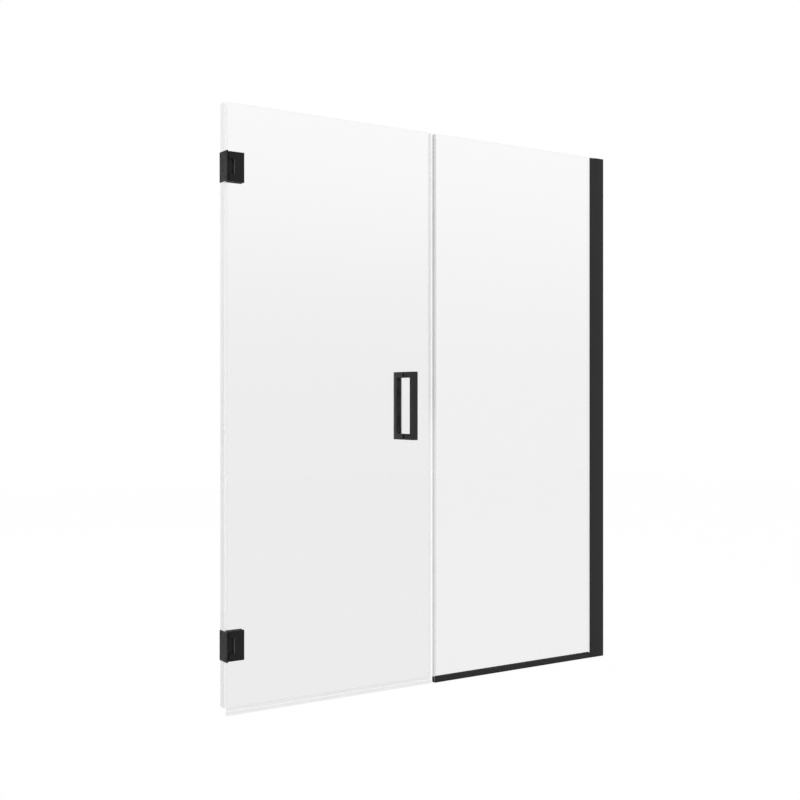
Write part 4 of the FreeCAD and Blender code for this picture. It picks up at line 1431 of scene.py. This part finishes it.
@dataclass
class DoorLeaf(SubAssembly):
    """The swinging pane with its clear seals, which stand a film of air off the glass."""

    left: float = -755.55
    right: float = -10.95
    half: float = 5.05
    wall_thickness: float = 1.15
    leg: float = 8.05
    skin: float = -761.6
    fin: float = -760.8
    fin_reach: float = 20.0
    seal_top: float = 1826.0
    sweep_top: float = 24.5
    hinge_cut: float = 46.0
    bulb_centre: float = -4.6
    bulb_radius: float = 5.8
    bulb_wall: float = 0.9
    foot: float = 0.4
    floor_gap: float = 12.95
    skirt: float = 1.0
    fin_drop: float = 9.3
    rail_reach: float = 5.0
    rail_rises: Place = (2.3, 1.2, 4.7)
    softness: float = 0.35

    @property
    def face(self) -> float:
        """Outer face of the seals' legs."""
        return self.half + self.wall_thickness

    def make_hinge_side_seal(self) -> None:
        """Draws the wall-side seal in its three lengths, between and beyond the hinges."""
        leg, web, face = self.left + self.leg, self.left - self.wall_thickness, self.face
        section = [
            (leg, -face), (self.skin, -face), (self.skin, self.fin_reach), (self.fin, self.fin_reach),
            (self.fin, -self.half), (web, -self.half), (web, face), (leg, face),
            (leg, self.half), (self.left, self.half), (self.left, -self.half), (leg, -self.half),
        ]
        low, high = HINGE_HEIGHTS
        ends = [
            (self.sweep_top, low - self.hinge_cut),
            (low + self.hinge_cut, high - self.hinge_cut),
            (high + self.hinge_cut, self.seal_top),
        ]
        seal = Piece("wall_side_clear_seal", Finish.WALL_VINYL, "hinge_side_seal")
        self.draw(seal, [soften(section, self.softness)], Run.ALONG_Z, ends,
                  lambda spot: spot.x < self.fin + NEAR)

    def make_strike_seal(self) -> None:
        """Draws the strike seal: a channel with a hollow bulb."""
        leg, web, face = self.right - self.leg, self.right + self.wall_thickness, self.face
        meet = math.degrees(math.acos((web - self.bulb_centre) / self.bulb_radius))
        middle = (self.bulb_centre, 0.0)
        around = circle(middle, self.bulb_radius, 40, -meet, 2 * meet)
        channel = soften([
            (leg, self.half), (self.right, self.half), (self.right, -self.half), (leg, -self.half),
            (leg, -face), (web, -face), (web, face), (leg, face),
        ], self.softness)
        split = max(index for index, (x, y) in enumerate(channel) if x > web - NEAR and y < 0)
        outline = channel[:split + 1] + around + channel[split + 1:]
        hollow = circle(middle, self.bulb_radius - self.bulb_wall, count=36)
        seal = Piece("strike_clear_seal", Finish.STRIKE_VINYL, "strike_seal")
        self.draw(seal, [outline, hollow], Run.ALONG_Z, [(self.sweep_top, self.seal_top)],
                  lambda spot: spot.x > web + NEAR)

    def make_bottom_sweep(self) -> None:
        """Draws the bottom sweep with its skirt, rear fin and drip rail."""
        face, half, thin = self.face, self.half, self.skirt
        web = self.floor_gap - self.wall_thickness
        fin_low, rail = web - self.fin_drop, face + self.rail_reach
        under, tip, root = (web + rise for rise in self.rail_rises)
        section = [
            (-face, self.sweep_top), (-face, web), (-face, self.foot), (-face + thin, self.foot),
            (-half, web), (half / 2, web), (half, fin_low), (half + thin, fin_low),
            (half / 2 + thin, web), (face, web), (face, under), (rail, web), (rail, tip),
            (face, root), (face, self.sweep_top), (half, self.sweep_top), (half, self.floor_gap),
            (-half, self.floor_gap), (-half, self.sweep_top),
        ]
        sweep = Piece("bottom_clear_sweep", Finish.SWEEP_VINYL, "bottom_sweep")
        ends = [(self.left - self.wall_thickness, self.right + self.wall_thickness)]
        self.draw(sweep, [soften(section, self.softness)], Run.ALONG_X, ends,
                  lambda spot: spot.z < web and spot.y < NEAR - half)

    def build(self) -> None:
        """Builds the pane and its seals."""
        pane = Piece("door_pane", Finish.DOOR_GLASS, "door_glass")
        self.copy_pane(pane, Finish.GROUND_EDGE, Finish.GROUND_EDGE)
        self.make_hinge_side_seal()
        self.make_strike_seal()
        self.make_bottom_sweep()


@dataclass
class FixedPanel(SubAssembly):
    """The fixed pane, its clear strip a film of air off it, and the channel that it stands in."""

    strip_left: float = 1.5
    left: float = 2.95
    half: float = 5.05
    strip_leg: float = 6.55
    strip_face: float = 6.2
    strip_top: float = 1826.0
    strip_softness: float = 0.35
    channel_left: float = 2.5
    channel_right: float = 696.0
    channel_face: float = 7.5
    channel_wall: float = 1.5
    channel_height: float = 20.0
    channel_softness: float = 0.4

    def make_edge_strip(self) -> None:
        """Draws the clear strip on the pane's free edge."""
        leg, face = self.left + self.strip_leg, self.strip_face
        section = mirrored([
            (self.strip_left, -face), (leg, -face), (leg, -self.half), (self.left, -self.half),
        ])
        strip = Piece("panel_clear_strip", Finish.STRIP_VINYL, "panel_edge_seal", Body.FIXED)
        self.draw(strip, [soften(section, self.strip_softness)], Run.ALONG_Z,
                  [(self.channel_height, self.strip_top)])

    def make_channel(self) -> None:
        """Draws the black channel under the pane, its sawn ends left bare."""
        face, wall, top = self.channel_face, self.channel_wall, self.channel_height
        inner = face - wall
        section = [
            (-face, 0.0), (face, 0.0), (face, top), (inner, top),
            (inner, wall), (-inner, wall), (-inner, top), (-face, top),
        ]
        channel = Piece("panel_bottom_channel", Finish.CHANNEL_COAT, "bottom_channel", Body.FIXED)
        mesh = self.draw(channel, [soften(section, self.channel_softness)], Run.ALONG_X,
                         [(self.channel_left, self.channel_right)])
        self.touch_up(mesh, [Finish.SAWN_END], lambda face: abs(face.normal.x) > SQUARE_ON)

    def build(self) -> None:
        """Builds the pane, its strip and its channel, and dresses what carries the pane."""
        pane = Piece("fixed_pane", Finish.PANEL_GLASS, "fixed_glass", Body.FIXED)
        self.copy_pane(pane, Finish.GROUND_EDGE, Finish.UPRIGHT_EDGE)
        self.make_edge_strip()
        self.make_channel()
        self.dress(Finish.GASKET, "channel_strips")
        self.dress(Finish.NYLON, "setting_blocks")


@dataclass
class WallChannel(SubAssembly):
    """The wide profile that slides over the jamb on the far wall."""

    left: float = 696.0
    inside_left: float = 708.0
    right: float = 761.5
    half: float = 8.0
    wall: float = 1.7
    pocket_end: float = 718.0
    web: float = 2.0
    top: float = 1825.5
    screw_x: float = 742.0
    screw_end: float = 150.0
    softness: float = 0.4

    def make_profile(self) -> None:
        """Draws the wide profile, its inside lip shorter than the outside one."""
        out, inner, web = self.half, self.half - self.wall, self.pocket_end + self.web
        section = [
            (self.left, -out), (self.right, -out), (self.right, -inner), (web, -inner),
            (web, inner), (self.right, inner), (self.right, out), (self.inside_left, out),
            (self.inside_left, inner), (self.pocket_end, inner), (self.pocket_end, -inner),
            (self.left, -inner),
        ]
        profile = Piece("wide_wall_profile", Finish.CHANNEL_COAT, "expander_profile", Body.FIXED)
        self.draw(profile, [soften(section, self.softness)], Run.ALONG_Z, [(0.0, self.top)])

    def make_screws(self) -> None:
        """Sets the three pan-head screws on the inside."""
        screw = Screw(
            Head.PAN, head_radius=3.8, head_height=2.2, shank_radius=2.0, reach=5.0,
            socket_width=2.5, socket_depth=1.5)
        row = Piece("profile_lock_screws", Finish.HINGE_COAT, "expander_screws", Body.FIXED)
        self.set_rows(row, screw, [(self.screw_x, self.half, self.screw_end)],
                      (self.top - 2 * self.screw_end) / 2, Facing.INSIDE, seed=21, count=3)

    def build(self) -> None:
        """Builds the profile and dresses what it holds."""
        self.make_profile()
        self.make_screws()
        self.dress(Finish.CHANNEL_COAT, "wall_jamb", "jamb_top_cap")
        self.dress(Finish.GASKET, "glazing_gaskets")


# Studio


@dataclass(frozen=True)
class Lamp:
    """A soft lamp, its place and size in metres and its power in watts."""

    name: str
    place: Place
    size: Point
    power: float


@dataclass
class Studio:
    """A pale room with soft lamps and the photograph's viewpoint, in metres and degrees."""

    camera_place: Place = (-2.2564, -3.2100, 0.9410)
    camera_heading: float = -33.509
    lens: float = 52.982
    sensor: float = 36.0
    floor_half: float = 9.0
    floor_level: float = -0.0004
    floor_tones: Point = (0.84, 0.86)
    floor_cloud: float = 3.0
    floor_white: float = 0.985
    floor_roughness: float = 0.8
    room_level: float = 0.62
    aim: Place = (0.0, 0.0, 0.95)
    lamps: tuple[Lamp, ...] = (
        Lamp("left_window_lamp", (-4.6, 0.9, 1.8), (2.6, 2.6), 62.0),
        Lamp("front_lamp", (1.8, -4.6, 2.4), (3.0, 2.2), 46.0),
        Lamp("top_lamp", (0.0, -0.6, 4.6), (3.4, 3.4), 46.0),
        Lamp("back_lamp", (1.2, 4.4, 2.6), (2.6, 2.2), 40.0),
    )

    @staticmethod
    def shows_white(board: NodeBoard) -> Node:
        """Adds the mask of rays that see the background: camera, glossy and transmission rays.

        Args:
            board: The board of the floor or the world.

        Returns:
            The node that gives one for such a ray and nought for any other.
        """
        path = board.add("ShaderNodeLightPath")
        seen = board.compute(
            "MAXIMUM", path.outputs["Is Camera Ray"], path.outputs["Is Glossy Ray"])
        return board.compute("MAXIMUM", seen, path.outputs["Is Transmission Ray"])

    def make_world(self) -> None:
        """Makes the white surroundings and their plain fill light."""
        world = bpy.data.worlds.new("pale_room")
        bpy.context.scene.world = world
        world.use_nodes = True
        world.node_tree.nodes.clear()
        board = NodeBoard(world.node_tree)
        room, white = [
            board.add("ShaderNodeBackground", {"Color": grey(1.0), "Strength": strength})
            for strength in (self.room_level, 1.0)
        ]
        mixed = board.choose(self.shows_white(board), room, white)
        board.add("ShaderNodeOutputWorld", {"Surface": mixed})

    def make_floor(self) -> None:
        """Lays the plain pale floor that keeps a soft shadow."""
        board = MaterialBoard("pale_floor")
        tone = board.remap(board.noise(board.place, self.floor_cloud), wanted=self.floor_tones)
        matt = board.add("ShaderNodeBsdfPrincipled", {
            "Base Color": tone, "Roughness": self.floor_roughness,
        })
        white = board.add("ShaderNodeEmission", {"Color": grey(1.0), "Strength": 1.0})
        seen = board.compute("MULTIPLY", self.shows_white(board), self.floor_white)
        reach = self.floor_half
        corners = [(-reach, -reach), (reach, -reach), (reach, reach), (-reach, reach)]
        shape = bmesh.new()
        shape.faces.new([shape.verts.new((x, y, self.floor_level)) for x, y in corners])
        floor = link("pale_floor", to_mesh(shape, "pale_floor"))
        floor.data.materials.append(board.finish(board.choose(seen, matt, white)))

    def hang_lamps(self) -> None:
        """Hangs the soft lamps, each aimed at the middle of the door."""
        for lamp in self.lamps:
            light = bpy.data.lights.new(lamp.name, "AREA")
            light.shape = "RECTANGLE"
            light.size, light.size_y = lamp.size
            light.energy = lamp.power
            hung = link(lamp.name, light)
            hung.location = lamp.place
            way = Vector(self.aim) - Vector(lamp.place)
            hung.rotation_euler = way.to_track_quat("-Z", "Y").to_euler()
            hung.visible_glossy = False
            hung.visible_camera = False
            hung.visible_transmission = False

    def set_camera(self) -> None:
        """Sets the camera at the photograph's viewpoint."""
        data = bpy.data.cameras.new("photo_camera")
        data.lens = self.lens
        data.sensor_width = self.sensor
        camera = link("photo_camera", data)
        camera.location = self.camera_place
        camera.rotation_euler = (math.radians(90), 0.0, math.radians(self.camera_heading))
        bpy.context.scene.camera = camera

    def build(self) -> None:
        """Builds the room, lamps and camera."""
        bpy.context.scene.view_settings.view_transform = "Standard"
        self.set_camera()
        self.make_world()
        self.make_floor()
        self.hang_lamps()
        LOG.info("studio: %d lamps", len(self.lamps))


def main() -> None:
    """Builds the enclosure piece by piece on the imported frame."""
    logging.basicConfig(level=logging.INFO, format="%(name)s: %(message)s")
    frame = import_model()
    Studio().build()
    bench = Bench(frame)
    low, high = HINGE_HEIGHTS
    sub_assemblies: list[SubAssembly] = [
        DoorLeaf(bench),
        FixedPanel(bench),
        WallChannel(bench),
        WallHinge(bench, "lower", low),
        WallHinge(bench, "upper", high),
        SquarePull(bench),
    ]
    for part in sub_assemblies:
        part.build()
        LOG.info("%s done", type(part).__name__)


if __name__ == "__main__":
    main()
